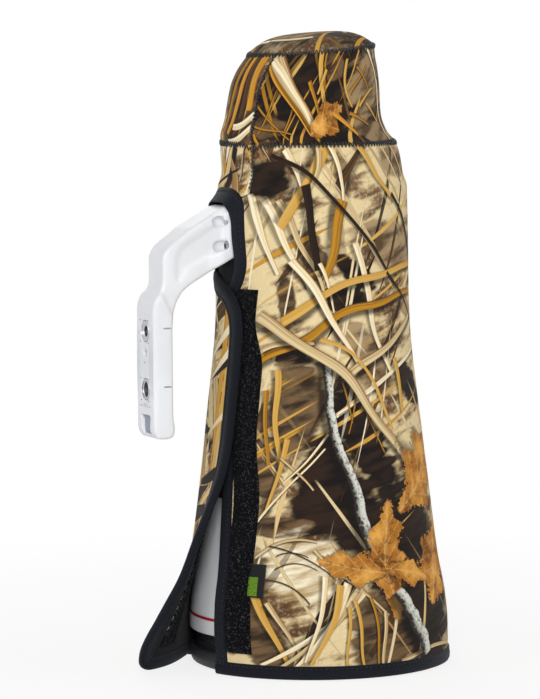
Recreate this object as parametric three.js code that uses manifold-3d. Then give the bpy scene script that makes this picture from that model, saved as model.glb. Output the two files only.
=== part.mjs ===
// A long camera lens standing on its front cap inside a printed neoprene travel cover.
// The cover is open at a keyhole, where the tripod foot comes out, and down a slit to the hem.
// Millimetres, +Z up. The origin is on the lens axis at the front cap's face. The foot points to -X.
// The angle "alpha" of a point on the cover runs from -X towards -Y.
import * as THREE from 'three';
import { mergeVertices } from 'three/addons/utils/BufferGeometryUtils.js';
import Module from 'manifold-3d';

const wasm = await Module();
wasm.setup();

// ---- Driving dimensions ----
const GAP = 0.3; // between two pieces that touch
const ROUND = 40; // facets round the cover and the barrel
const ROUND_SMALL = 28; // facets round the pieces inside

// Lengths along the axis, from the front cap up
const CAP_DEPTH = 12.5;
const HOOD_RING_LENGTH = 10.5;
const FRONT_BARREL_LENGTH = 87;
const FOCUS_RING_LENGTH = 40;
const MID_BARREL_LENGTH = 106;
const COLLAR_ZONE_LENGTH = 44;
const REAR_BARREL_LENGTH = 52;
const CONTROL_RING_LENGTH = 12;

// Radii of the lens
const FRONT_RADIUS = 81.5;
const FOCUS_RADIUS = 70;
const MID_RADIUS = 65.2;
const COLLAR_ZONE_RADIUS = 56.9;
const JOURNAL_RADIUS = 46;
const REAR_RADIUS = 50;
const REAR_JOURNAL_RADIUS = 35;
const WALL = 5;
const BORE_RADIUS = 52.3; // the focus group slides in it

// The cover
const FABRIC = 3.5;
const EASE = 0.6; // from the lens to the inside of the cover
const BINDING_WIDTH = 9.5;
const BINDING_PROUD = 0.9;
const HEM_CLEAR = 1.5; // from the ground to the hem
const HEM_HEIGHT = 11;
const SHOULDER_RADIUS = 56.1;
const SLEEVE_LENGTH = 59;
const DOME_HEIGHT = 10.5;
const BUMP = 7; // the foot's root pushes the cover out round the keyhole
const STRIP_WIDTH = 20;
const STRIP_THICK = 1.3;
const HOOK_THICK = 0.8;
const FLAP_LIFT = FABRIC + STRIP_THICK + 0.6; // where the closed stretch of the flap runs over the strip

// The tripod foot
const FOOT_ROOT_HALF = 16.5;
const FOOT_ARM_HALF = 13.3;
const FOOT_PLATE_HALF = 15.25;
const FOOT_EASE = 0.5; // each side of the root in the keyhole
const FOOT_REACH = 116.8; // from the axis to the face that meets a tripod plate
const LEG_THICK = 13.7;
const SCREW_SPREAD = 12.2;
const SCREW_HEAD_RADIUS = 3.2;
const SCREW_SHANK_RADIUS = 2.5;
const INSERT_RADIUS = 6.7;
const INSERT_DEPTH = 10;
const SMALL_THREAD_RADIUS = 3.2;
const LARGE_THREAD_RADIUS = 4.75;
const INSERT_SPACING = 37;

// ---- Levels that follow from the lengths ----
const Z_HOOD = CAP_DEPTH;
const Z_FRONT = Z_HOOD + HOOD_RING_LENGTH;
const Z_FOCUS = Z_FRONT + FRONT_BARREL_LENGTH;
const Z_MID = Z_FOCUS + FOCUS_RING_LENGTH;
const Z_COLLAR_ZONE = Z_MID + MID_BARREL_LENGTH;
const Z_REAR = Z_COLLAR_ZONE + COLLAR_ZONE_LENGTH;
const Z_CONTROL = Z_REAR + REAR_BARREL_LENGTH;
const Z_MOUNT = Z_CONTROL + CONTROL_RING_LENGTH;
const Z_COLLAR = Z_COLLAR_ZONE + COLLAR_ZONE_LENGTH / 2; // middle of the collar
const Z_SHOULDER = Z_REAR + 35;
const Z_SLEEVE_TOP = Z_SHOULDER + SLEEVE_LENGTH;

// ---- Vectors, tables and solids ----
const point = (x, y, z) => new THREE.Vector3(x, y, z);
const degrees = THREE.MathUtils.degToRad;

// The value at t in a table of [t, value, ...] rows, straight between the rows
function lookUp(table, t, column = 1) {
  const last = table.length - 1;
  let i = 0;
  while (i < last - 1 && t > table[i + 1][0]) i += 1;
  const share = THREE.MathUtils.clamp((t - table[i][0]) / (table[i + 1][0] - table[i][0]), 0, 1);
  return THREE.MathUtils.lerp(table[i][column], table[i + 1][column], share);
}

// Merges the shared vertices, drops faces with no area and turns the faces outwards
function closed(geometry) {
  geometry.deleteAttribute('normal');
  geometry.deleteAttribute('uv');
  const merged = mergeVertices(geometry, 1e-3);
  const { array } = merged.attributes.position;
  const corner = (i) => point(array[3 * i], array[3 * i + 1], array[3 * i + 2]);
  const faces = [];
  let volume = 0;
  for (let i = 0; i < merged.index.count; i += 3) {
    const [a, b, c] = [0, 1, 2].map((k) => merged.index.getX(i + k));
    if (a !== b && b !== c && c !== a) {
      faces.push([a, b, c]);
      volume += corner(a).dot(corner(b).cross(corner(c)));
    }
  }
  merged.setIndex(faces.flatMap(([a, b, c]) => (volume < 0 ? [a, c, b] : [a, b, c])));
  return merged;
}

function solid(geometry) {
  const shape = closed(geometry);
  const vertProperties = new Float32Array(shape.attributes.position.array);
  const triVerts = new Uint32Array(shape.index.array);
  return new wasm.Manifold(new wasm.Mesh({ numProp: 3, vertProperties, triVerts }));
}

function geometryOf(made) {
  const { vertProperties, triVerts } = made.getMesh();
  const geometry = new THREE.BufferGeometry();
  geometry.setAttribute('position', new THREE.BufferAttribute(vertProperties, 3));
  geometry.setIndex(new THREE.BufferAttribute(triVerts, 1));
  return geometry;
}

const cut = (base, ...tools) =>
  geometryOf(tools.reduce((left, tool) => left.subtract(solid(tool)), solid(base)));
const join = (base, ...others) =>
  geometryOf(others.reduce((sum, other) => sum.add(solid(other)), solid(base)));
const common = (a, b) => geometryOf(solid(a).intersect(solid(b)));

// A solid through rings of points. Each ring has an even number of points, and its two halves
// run side by side, so an end is closed by quads from one half to the other.
function loft(rings, { loop = false } = {}) {
  const count = rings[0].length;
  const index = [];
  const quad = (a, b, c, d) => index.push(a, b, c, a, c, d);
  const spans = loop ? rings.length : rings.length - 1;
  for (let i = 0; i < spans; i += 1) {
    const a = i * count;
    const b = ((i + 1) % rings.length) * count;
    for (let j = 0; j < count; j += 1) {
      const k = (j + 1) % count;
      quad(a + j, b + j, b + k, a + k);
    }
  }
  const end = (rings.length - 1) * count;
  for (let j = 0; !loop && j < count / 2 - 1; j += 1) {
    const k = count - 1 - j;
    quad(j, j + 1, k - 1, k);
    quad(end + k, end + k - 1, end + j + 1, end + j);
  }
  const geometry = new THREE.BufferGeometry();
  const positions = rings.flat().flatMap((p) => [p.x, p.y, p.z]);
  geometry.setAttribute('position', new THREE.Float32BufferAttribute(positions, 3));
  geometry.setIndex(index);
  return closed(geometry);
}

// A profile of [radius, z] points turned about Z. It closes on itself or on the axis.
function turned(profile, facets = ROUND) {
  const points = profile.map(([r, z]) => new THREE.Vector2(r, z));
  if (profile[0][0] > 0) points.push(points[0].clone());
  return closed(new THREE.LatheGeometry(points, facets).rotateX(Math.PI / 2));
}

// A ring with straight walls
const ring = (inner, outer, low, high, facets = ROUND) =>
  turned([[inner, low], [outer, low], [outer, high], [inner, high]], facets);

const polygon = (corners) => new THREE.Shape(corners.map(([a, b]) => new THREE.Vector2(a, b)));

// An outline in Y and Z, extruded along X from x0 to x1
function alongX(outline, x0, x1) {
  const shape = outline instanceof THREE.Shape ? outline : polygon(outline);
  const settings = { depth: x1 - x0, bevelEnabled: false, curveSegments: 5 };
  const basis = new THREE.Matrix4().makeBasis(point(0, 1, 0), point(0, 0, 1), point(1, 0, 0));
  return new THREE.ExtrudeGeometry(shape, settings).applyMatrix4(basis).translate(x0, 0, 0);
}

// An outline in X and Z, extruded along Y to both sides of y = 0
function alongY(shape, half) {
  const settings = { depth: 2 * half, bevelEnabled: false, curveSegments: 4 };
  return new THREE.ExtrudeGeometry(shape, settings).rotateX(Math.PI / 2).translate(0, half, 0);
}

// A round bar along X
const barX = (radius, x0, x1, y, z, facets = 16) =>
  new THREE.CylinderGeometry(radius, radius, x1 - x0, facets)
    .rotateZ(Math.PI / 2)
    .translate((x0 + x1) / 2, y, z);

// ---- The outline that the lens and its cover share ----
// [height, radius] of the widest the lens may be
const LENS_OUTLINE = [
  [Z_FRONT + 1, FRONT_RADIUS],
  [Z_FRONT + 22, FRONT_RADIUS - 1.6],
  [Z_FRONT + 43, FRONT_RADIUS - 5.4],
  [Z_FOCUS, FOCUS_RADIUS],
  [Z_MID, MID_RADIUS],
  [Z_MID + 70, COLLAR_ZONE_RADIUS + 1.2],
  [Z_COLLAR, COLLAR_ZONE_RADIUS],
  [Z_REAR, COLLAR_ZONE_RADIUS - 0.3],
];
const lensRadius = (z) => lookUp(LENS_OUTLINE, z);
const coverOver = (z) => lensRadius(z) + EASE + FABRIC;

// [height, outer radius, shift towards the foot, tilt] of each ring of the cover
const onLens = (z) => [z, coverOver(z), 0, 0];
const BODY_RINGS = [
  ...[HEM_CLEAR, HEM_CLEAR + HEM_HEIGHT, Z_FRONT + 1, Z_FRONT + 22, Z_FRONT + 43].map(onLens),
  ...[Z_FOCUS, Z_MID, Z_MID + 32, Z_MID + 70, Z_COLLAR - 20, Z_COLLAR, Z_COLLAR + 10].map(onLens),
  ...[Z_COLLAR + 17, Z_REAR + 6].map(onLens),
  [Z_REAR + 16, SHOULDER_RADIUS + 2, 0.3, 0],
  [Z_REAR + 26, SHOULDER_RADIUS + 1.5, 1.4, 0],
  [Z_SHOULDER, SHOULDER_RADIUS, 3, 0],
];
const SLEEVE_RINGS = [
  [Z_SHOULDER, SHOULDER_RADIUS, 3, 0],
  [Z_SHOULDER + 7, SHOULDER_RADIUS - 3, 5.8, 0],
  [Z_SHOULDER + 16, SHOULDER_RADIUS - 6.1, 6.3, 0],
  [Z_SHOULDER + 37, SHOULDER_RADIUS - 8.7, 4.9, 0.01],
  [Z_SHOULDER + 47, SHOULDER_RADIUS - 11.2, 3.5, 0.03],
  [Z_SHOULDER + 52, SHOULDER_RADIUS - 13.1, 2.6, 0.05],
  [Z_SLEEVE_TOP, SHOULDER_RADIUS - 15.6, 0.3, 0.074],
];

// How far the foot's root pushes the cover out
function bump(alpha, z) {
  const rise = z - (Z_COLLAR + 10);
  const spread = rise > 0 ? 8 : 24;
  return BUMP * Math.exp(-((rise / spread) ** 2) / 2 - (alpha / degrees(22)) ** 2 / 2);
}

function coverPoint(rings, alpha, z, offset) {
  const swollen = rings.map(([level, over]) => [level, over + bump(alpha, level)]);
  const radius = lookUp(swollen, z) + offset;
  const x = -radius * Math.cos(alpha) - lookUp(rings, z, 2);
  return point(x, -radius * Math.sin(alpha), z + x * lookUp(rings, z, 3));
}

// The cover's wall between two offsets from its outside, over the ring heights from low to high
function coverWall(rings, inner, outer, low, high) {
  const levels = [low, ...rings.map(([z]) => z).filter((z) => z > low && z < high), high];
  const around = Array.from({ length: ROUND }, (_, i) => (i * 2 * Math.PI) / ROUND);
  const profile = (alpha) => [
    ...levels.map((z) => coverPoint(rings, alpha, z, outer)),
    ...levels.toReversed().map((z) => coverPoint(rings, alpha, z, inner)),
  ];
  return loft(around.map(profile), { loop: true });
}

// ---- The opening: a keyhole over a slit ----
const KEYHOLE_HALF = FOOT_ROOT_HALF + FOOT_EASE;
const KEYHOLE_TOP = Z_COLLAR + 20;
const KEYHOLE_CORNER = 5;
const SLIT_TOP = Z_COLLAR - 38;
const SLIT_EDGE_LOW = -28; // Y of the slit's edge at the ground
const SLIT_EDGE_HIGH = -4;
const FLAP_TOP = Z_COLLAR - 24;
const HINGE_TOP_ALPHA = degrees(-14);
const HINGE_LOW_ALPHA = degrees(-38);
const coverAlphaPoint = (alpha, z) => coverPoint(BODY_RINGS, alpha, z, -FABRIC / 2);
const HINGE_TOP = coverAlphaPoint(HINGE_TOP_ALPHA, FLAP_TOP);
const HINGE_LOW = coverAlphaPoint(HINGE_LOW_ALPHA, HEM_CLEAR);

// The opening's outline in Y and Z, grown by a margin over the edge that carries the binding
function openingOutline(margin, left) {
  const half = KEYHOLE_HALF + margin;
  const corner = KEYHOLE_CORNER + margin;
  const top = KEYHOLE_TOP + margin;
  const shape = new THREE.Shape();
  shape.moveTo(SLIT_EDGE_LOW - margin, -10);
  shape.lineTo(SLIT_EDGE_LOW - margin, 0);
  shape.lineTo(SLIT_EDGE_HIGH - margin, SLIT_TOP - margin / 2);
  shape.quadraticCurveTo(-half, SLIT_TOP + 12 - margin / 2, -half, SLIT_TOP + 24);
  shape.lineTo(-half, top - corner);
  shape.absarc(-half + corner, top - corner, corner, Math.PI, Math.PI / 2, true);
  shape.absarc(half - corner, top - corner, corner, Math.PI / 2, 0, true);
  shape.lineTo(half, FLAP_TOP + 3);
  left.forEach(([y, z]) => shape.lineTo(y, z));
  return shape;
}

// The line that the flap hangs from, as Y at a height
const hingeY = (z) =>
  THREE.MathUtils.lerp(HINGE_LOW.y, HINGE_TOP.y, (z - HINGE_LOW.z) / (HINGE_TOP.z - HINGE_LOW.z));
const HINGE_SIDE = [[hingeY(FLAP_TOP + 3), FLAP_TOP + 3], [hingeY(-10), -10]];
const openingFace = (outline, margin = 0) => alongX(outline, -2 * FRONT_RADIUS, -20 - margin);

function coverBody() {
  const wall = coverWall(BODY_RINGS, -FABRIC, 0, HEM_CLEAR + HEM_HEIGHT + GAP, Z_SHOULDER);
  return cut(wall, openingFace(openingOutline(BINDING_WIDTH + GAP, HINGE_SIDE)));
}

function openingBinding() {
  const wall = coverWall(BODY_RINGS, -FABRIC, BINDING_PROUD, HEM_CLEAR + HEM_HEIGHT + GAP, Z_COLLAR + 45);
  const far = 2 * FRONT_RADIUS;
  const band = common(wall, openingFace(openingOutline(BINDING_WIDTH, HINGE_SIDE)));
  return cut(band, openingFace(openingOutline(0, [[far, FLAP_TOP + 3], [far, -20]]), -10));
}

function hemBinding() {
  const wall = coverWall(BODY_RINGS, -FABRIC, 0, HEM_CLEAR, HEM_CLEAR + HEM_HEIGHT);
  const y = hingeY(0);
  const outline = [[SLIT_EDGE_LOW, -10], [y, -10], [y, 30], [SLIT_EDGE_LOW, 30]];
  return cut(wall, openingFace(outline));
}

const coverSleeve = () => coverWall(SLEEVE_RINGS, -FABRIC, 0, Z_SHOULDER + GAP, Z_SLEEVE_TOP);

// The dome over the sleeve: it lies in the same tilted plane as the sleeve's top ring
function coverTop() {
  const [, rim, shift, tilt] = SLEEVE_RINGS.at(-1);
  const ringAt = (share, radius, drop) =>
    Array.from({ length: ROUND }, (_, i) => {
      const alpha = (i * 2 * Math.PI) / ROUND;
      const x = -share * radius * Math.cos(alpha) - shift;
      const height = DOME_HEIGHT * (1 - share ** 4);
      return point(x, -share * radius * Math.sin(alpha), Z_SLEEVE_TOP + GAP + x * tilt + height - drop);
    });
  const shares = [0.1, 0.5, 0.75, 0.9, 1];
  const inside = shares.map((share) => ringAt(share, rim - FABRIC, share < 1 ? FABRIC : 0));
  return loft([...inside, ...shares.toReversed().map((share) => ringAt(share, rim, 0))]);
}

// ---- The loop strip and the tab beside the slit ----
// [height, alpha] of the strip's free edge
const STRIP_EDGE = [
  [HEM_CLEAR + 14, 38.1], [60, 36.4], [Z_FOCUS, 38], [Z_MID, 34.6], [Z_MID + 45, 35.6],
  [Z_MID + 73, 30], [Z_COLLAR - 34, 32],
].map(([z, angle]) => [z, degrees(angle)]);
const edgeOnCover = (alpha, z, arc) => {
  const radius = coverOver(z);
  return [-radius * Math.sin(alpha + arc / radius), z];
};

function stripOutline() {
  const free = STRIP_EDGE.map(([z, alpha]) => edgeOnCover(alpha, z, 0));
  const sewn = STRIP_EDGE.map(([z, alpha]) => edgeOnCover(alpha, z, -STRIP_WIDTH));
  return [...free, ...sewn.reverse()];
}
function loopStrip() {
  const wall = coverWall(BODY_RINGS, GAP, GAP + STRIP_THICK, HEM_CLEAR + 14, Z_COLLAR - 34);
  const strip = common(wall, openingFace(stripOutline()));
  return cut(strip, openingFace(openingOutline(BINDING_WIDTH + GAP, HINGE_SIDE), -10));
}

function labelTab() {
  const [low, high] = [51.7, 72.4];
  const edge = (z, arc) => edgeOnCover(lookUp(STRIP_EDGE, z), z, arc);
  const outline = [edge(low, GAP), edge(low, 9), edge(high, 9), edge(high, GAP)];
  return common(coverWall(BODY_RINGS, GAP, 1.2, low - 5, high + 5), openingFace(outline));
}

// ---- The flap, peeled open at the hem ----
// [height, alpha, lift off the cover, outward curl] of its free edge, and the angle at which
// the flap leaves the cover at its root
const FLAP_EDGE = [
  [0, 4, 47, 84, 1], [12, 4.4, 45.2, 80, 1], [35, 8, 36.1, 68, 1], [60, 12.3, 28.5, 55, 2],
  [85, 14.7, 23.3, 45, 4], [108, 17.4, 16.3, 34, 8], [133, 19.7, 10, 18, 14],
  [160, 21.9, 6.4, 8, 20], [Z_MID + 40, 23.5, FLAP_LIFT, 0, 22],
  [Z_MID + 72, 23.9, FLAP_LIFT, 0, 22], [FLAP_TOP + 4, 23.9, FLAP_LIFT, 0, 22],
].map(([z, alpha, lift, curl, leave]) => [z, degrees(alpha), lift, degrees(curl), degrees(leave)]);

// The flap's middle surface: across from its root (0) to its free edge (1), at a height
function flapSurface(across, z) {
  const rootAlpha = -Math.asin(hingeY(z) / (coverOver(z) - FABRIC / 2));
  const root = coverPoint(BODY_RINGS, rootAlpha, z, -FABRIC / 2);
  const alpha = lookUp(FLAP_EDGE, z);
  const edge = coverPoint(BODY_RINGS, alpha, z, lookUp(FLAP_EDGE, z, 2));
  const reach = root.distanceTo(edge) / 3;
  const away = (angle, length) => point(Math.sin(angle), -Math.cos(angle), 0).multiplyScalar(length);
  const from = root.clone().add(away(rootAlpha - lookUp(FLAP_EDGE, z, 4), reach));
  const to = edge.clone().sub(away(alpha - lookUp(FLAP_EDGE, z, 3), reach));
  return new THREE.CubicBezierCurve3(root, from, to, edge).getPoint(across);
}

function flapNormal(across, z) {
  const step = 0.01;
  const low = Math.min(across, 1 - step);
  const along = flapSurface(low + step, z).sub(flapSurface(low, z));
  const up = flapSurface(across, z + 1).sub(flapSurface(across, z - 1));
  return along.cross(up).normalize();
}

const flapPoint = (across, z, offset) =>
  flapSurface(across, z).addScaledVector(flapNormal(across, z), offset);

// The flap's free edge is rounded into its top and its hem
const FLAP_TOP_CORNER = 0.32; // as a share of the way across
const FLAP_LOW_CORNER = 0.13;
function cornerRise(across, share, height) {
  const near = THREE.MathUtils.clamp((across - 1 + share) / share, 0, 1);
  return height * (1 - Math.sqrt(1 - near ** 2));
}
const flapLow = (across) => HEM_CLEAR + 1 + cornerRise(across, FLAP_LOW_CORNER, 12);
const flapHigh = (across) => FLAP_TOP - 14 * across - cornerRise(across, FLAP_TOP_CORNER, 20);
const FLAP_ROOT = -0.04; // past the hinge line, to be cut there
const FLAP_ACROSS = [FLAP_ROOT, 0.15, 0.3, 0.45, 0.58, 0.68, 0.77, 0.85, 0.91, 0.95, 0.98, 1];

// A sheet on the flap's surface between two offsets
function flapSheet(acrosses, levels, low, high, near, far) {
  const ringAt = (level) => {
    const at = (across, offset) =>
      flapPoint(across, THREE.MathUtils.lerp(low(across), high(across), level), offset);
    return [...acrosses.map((a) => at(a, near)), ...acrosses.toReversed().map((a) => at(a, far))];
  };
  return loft(Array.from({ length: levels + 1 }, (_, i) => ringAt(i / levels)));
}

// The edge of the flap from its top at the hinge, down the free edge, and back along the hem
function flapEdgeRoute() {
  const top = FLAP_ACROSS.slice(0, -1).map((a) => [a, flapHigh(a)]);
  const hem = FLAP_ACROSS.toReversed().map((a) => [a, flapLow(a)]);
  const [high, low] = [flapHigh(1), flapLow(1)];
  const steps = 9;
  const side = Array.from({ length: steps }, (_, i) => [1, THREE.MathUtils.lerp(high, low, i / steps)]);
  return [...top, ...side, ...hem];
}

// A band along the flap's edge, from outward past it to inward of it, between two offsets
function flapBand(outward, inward, near, far) {
  const route = flapEdgeRoute();
  const points = route.map(([a, z]) => flapSurface(a, z));
  const round = (far - near) / 4;
  const rings = route.map(([a, z], i) => {
    const before = points[Math.max(i - 1, 0)];
    const after = points[Math.min(i + 1, points.length - 1)];
    const ahead = after.clone().sub(before).normalize();
    const normal = flapNormal(a, z);
    const inside = ahead.clone().cross(normal).normalize();
    const at = (x, y) => points[i].clone().addScaledVector(inside, x).addScaledVector(normal, y);
    return [
      at(inward, far), at(round - outward, far), at(-outward, far - round),
      at(-outward, near + round), at(round - outward, near), at(inward, near),
    ];
  });
  return loft(rings);
}

// The half-space on the flap's side of the hinge line
function flapSide() {
  const [low, high] = [-20, 2 * FLAP_TOP];
  const far = -2 * FRONT_RADIUS;
  return openingFace([[hingeY(low) - GAP, low], [hingeY(high) - GAP, high], [far, high], [far, low]]);
}

const flapBinding = () =>
  common(flapBand(0, BINDING_WIDTH, -FABRIC / 2, FABRIC / 2 + BINDING_PROUD), flapSide());
function flapPanel() {
  const full = flapSheet(FLAP_ACROSS, 16, flapLow, flapHigh, -FABRIC / 2, FABRIC / 2);
  return cut(common(full, flapSide()), flapBand(3, BINDING_WIDTH + 2 * GAP, -FABRIC, FABRIC));
}
function hookStrip() {
  const inner = -FABRIC / 2 - 2 * GAP;
  const acrosses = [0.6, 0.66, 0.72, 0.78, 0.84];
  const [low, high] = [HEM_CLEAR + 16, FLAP_TOP - 44];
  return flapSheet(acrosses, 14, () => low, () => high, inner - HOOK_THICK, inner);
}

// ---- The lens barrel ----
function frontCap() {
  const skirt = FRONT_RADIUS - 3.7;
  return turned([
    [0, 0], [FRONT_RADIUS - 6, 0], [FRONT_RADIUS - 1.8, 1.8], [FRONT_RADIUS, 6],
    [FRONT_RADIUS, CAP_DEPTH - GAP], [skirt, CAP_DEPTH - GAP], [skirt, 3], [0, 3],
  ]);
}

const HOOD_OUTER = FRONT_RADIUS - 4;
const HOOD_INNER = HOOD_OUTER - 5.2;
const HOOD_LIP = HOOD_INNER - 2.8;
const hoodRing = () => turned([
  [HOOD_INNER, 3 + GAP], [HOOD_OUTER, 3 + GAP], [HOOD_OUTER, Z_FRONT - GAP], [HOOD_LIP, Z_FRONT - GAP],
  [HOOD_LIP, Z_FRONT - 2.7], [HOOD_INNER, Z_FRONT - 2.7],
]);

const frontElement = () => turned([
  [0, 7], [HOOD_INNER * 0.5, 8], [HOOD_INNER - GAP, 12], [HOOD_INNER - GAP, Z_FRONT - 3], [0, Z_FRONT - 2.2],
]);

const RED_RING = [Z_FRONT + 9.5, Z_FRONT + 10.9];
const RED_GROOVE_DEPTH = 1.2;
const BUTTON_RADIUS = 6;
const BUTTON_LEVEL = Z_FOCUS - 15;
const BUTTON_FACE = lensRadius(BUTTON_LEVEL + BUTTON_RADIUS) - 0.3;
const BUTTON_THICK = 2.2;
const BUTTON_TRAVEL = 0.8;
const BUTTONS = 4;
const buttonTurn = (i) => Math.PI / 4 + (i * 2 * Math.PI) / BUTTONS;

function frontBarrel() {
  const [low, high] = RED_RING;
  const groove = lensRadius(low) - RED_GROOVE_DEPTH;
  const shell = turned([
    [HOOD_LIP, Z_FRONT], [FRONT_RADIUS, Z_FRONT], [FRONT_RADIUS, Z_FRONT + 1],
    [lensRadius(low - GAP), low - GAP], [groove, low - GAP], [groove, high + GAP],
    [lensRadius(high + GAP), high + GAP], ...[22, 43].map((up) => [lensRadius(Z_FRONT + up), Z_FRONT + up]),
    [FOCUS_RADIUS, Z_FOCUS - GAP], [FOCUS_RADIUS - WALL, Z_FOCUS - GAP],
    [lensRadius(Z_FRONT + 43) - WALL, Z_FRONT + 43], [FRONT_RADIUS - 2 * WALL, Z_FRONT + 5],
    [HOOD_LIP, Z_FRONT + 5],
  ]);
  const floor = BUTTON_FACE - BUTTON_THICK - BUTTON_TRAVEL - GAP;
  const pockets = Array.from({ length: BUTTONS }, (_, i) =>
    barX(BUTTON_RADIUS + GAP, floor, FRONT_RADIUS + 5, 0, BUTTON_LEVEL).rotateZ(buttonTurn(i)));
  return cut(shell, ...pockets);
}

function redRing() {
  const [low, high] = RED_RING;
  const inner = lensRadius(low) - RED_GROOVE_DEPTH + GAP;
  return ring(inner, lensRadius(high) + 0.1, low, high);
}

const functionButton = () => barX(BUTTON_RADIUS, BUTTON_FACE - BUTTON_THICK, BUTTON_FACE, 0, 0);

const FOCUS_JOURNAL = MID_RADIUS - 4;
const focusRing = () => turned([
  [FOCUS_JOURNAL + GAP, Z_FOCUS], [FOCUS_RADIUS - 0.4, Z_FOCUS], [MID_RADIUS - 0.4, Z_MID - GAP],
  [FOCUS_JOURNAL + GAP, Z_MID - GAP],
]);

const MID_DROP = 3; // the mid barrel lies this far inside the outline, under its switch plate
function midBarrel() {
  const outer = (z) => [lensRadius(z) - MID_DROP, z];
  const end = Z_REAR - GAP;
  return turned([
    [FOCUS_JOURNAL - WALL, Z_FOCUS + GAP], [FOCUS_JOURNAL, Z_FOCUS + GAP], [FOCUS_JOURNAL, Z_MID],
    outer(Z_MID), outer(Z_MID + 70), outer(Z_COLLAR_ZONE), [JOURNAL_RADIUS, Z_COLLAR_ZONE],
    [JOURNAL_RADIUS, end], [JOURNAL_RADIUS - WALL, end], [JOURNAL_RADIUS - WALL, Z_COLLAR_ZONE - WALL],
    [BORE_RADIUS, Z_COLLAR_ZONE - WALL], [BORE_RADIUS, Z_MID],
    [FOCUS_JOURNAL - WALL, Z_MID],
  ]);
}

const SWITCHES = 3;
const SWITCH_TRAVEL = 1.5;
const SWITCH_HALF = 2.6;
const SWITCH_HEIGHT = 4;
const PLATE_HALF = 15;
const PLATE_LOW = Z_MID + 16;
const SWITCH_PITCH = 18;
const PLATE_HIGH = PLATE_LOW + SWITCHES * SWITCH_PITCH;
const switchLevel = (i) => PLATE_LOW + SWITCH_PITCH * (i + 0.5);
const plateWall = (inner, outer, low, high) =>
  turned([
    [lensRadius(low) - inner, low], [lensRadius(low) - outer, low],
    [lensRadius(high) - outer, high], [lensRadius(high) - inner, high],
  ]);
// A block on the +Y side of the barrel
const sideBlock = (half, low, high) =>
  new THREE.BoxGeometry(2 * half, FRONT_RADIUS, high - low)
    .translate(0, FRONT_RADIUS / 2 + 20, (low + high) / 2);

function switchPlate() {
  const wall = plateWall(MID_DROP - GAP, 1, PLATE_LOW, PLATE_HIGH);
  const plate = common(wall, sideBlock(PLATE_HALF, PLATE_LOW - 1, PLATE_HIGH + 1));
  const half = SWITCH_HALF + SWITCH_TRAVEL + GAP;
  const slots = Array.from({ length: SWITCHES }, (_, i) => {
    const [low, high] = [-1, 1].map((side) => switchLevel(i) + side * (SWITCH_HEIGHT / 2 + GAP));
    return sideBlock(half, low, high);
  });
  return cut(plate, ...slots);
}

function switchKnob(i) {
  const [low, high] = [-1, 1].map((side) => switchLevel(i) + (side * SWITCH_HEIGHT) / 2);
  const root = lensRadius(high) - MID_DROP + 2 * GAP;
  const face = lensRadius(high) - 0.4;
  return new THREE.BoxGeometry(2 * SWITCH_HALF, face - root, high - low)
    .translate(0, (face + root) / 2, (low + high) / 2);
}

// ---- The glass inside ----
const CELL_RADIUS = FOCUS_JOURNAL - WALL - GAP;
const SECOND_GLASS = 50;
const SECOND_LEVEL = Z_FOCUS + 8;
const secondCell = () => ring(SECOND_GLASS + GAP, CELL_RADIUS, SECOND_LEVEL, SECOND_LEVEL + 14);
const secondElement = () => turned([
  [0, SECOND_LEVEL - 2], [SECOND_GLASS * 0.6, SECOND_LEVEL], [SECOND_GLASS, SECOND_LEVEL + 4],
  [SECOND_GLASS, SECOND_LEVEL + 9], [0, SECOND_LEVEL + 9],
]);
const FOCUS_GLASS = 40;
const FOCUS_LEVEL = Z_MID + 30;
const focusCell = () => ring(FOCUS_GLASS + GAP, BORE_RADIUS - GAP, FOCUS_LEVEL, FOCUS_LEVEL + 12);
const focusElement = () => turned([
  [0, FOCUS_LEVEL + 5], [FOCUS_GLASS * 0.6, FOCUS_LEVEL + 4], [FOCUS_GLASS, FOCUS_LEVEL + 1],
  [FOCUS_GLASS, FOCUS_LEVEL + 11], [0, FOCUS_LEVEL + 8],
], ROUND_SMALL);
const REAR_BORE = REAR_JOURNAL_RADIUS - 4;
const REAR_GLASS = 20;
const rearCell = () => ring(REAR_GLASS + GAP, REAR_BORE - GAP, Z_CONTROL - 6, Z_CONTROL + 4, ROUND_SMALL);
const rearElement = () => turned([
  [0, Z_CONTROL - 5], [REAR_GLASS, Z_CONTROL - 3], [REAR_GLASS, Z_CONTROL + 2], [0, Z_CONTROL + 5],
], ROUND_SMALL);

// ---- The rear of the lens ----
function rearBarrel() {
  const journalTop = Z_MOUNT + 1;
  return turned([
    [JOURNAL_RADIUS - WALL, Z_REAR], [REAR_RADIUS, Z_REAR], [REAR_RADIUS, Z_REAR + 22],
    [REAR_RADIUS - 8, Z_REAR + 40], [REAR_JOURNAL_RADIUS + 3, Z_CONTROL - GAP],
    [REAR_JOURNAL_RADIUS, Z_CONTROL - GAP], [REAR_JOURNAL_RADIUS, journalTop], [REAR_BORE, journalTop],
    [REAR_BORE, Z_CONTROL - 10], [JOURNAL_RADIUS - WALL, Z_REAR + 20],
  ]);
}

const LUG_LEVEL = Z_REAR + 12;
function strapLug() {
  const shape = new THREE.Shape();
  shape.absarc(0, 0, 6.5, 0, 2 * Math.PI);
  shape.holes.push(new THREE.Path().absarc(0, 0, 2.6, 0, 2 * Math.PI));
  const settings = { depth: 3.2, bevelEnabled: false, curveSegments: 8 };
  return new THREE.ExtrudeGeometry(shape, settings).rotateX(-Math.PI / 2);
}

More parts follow.
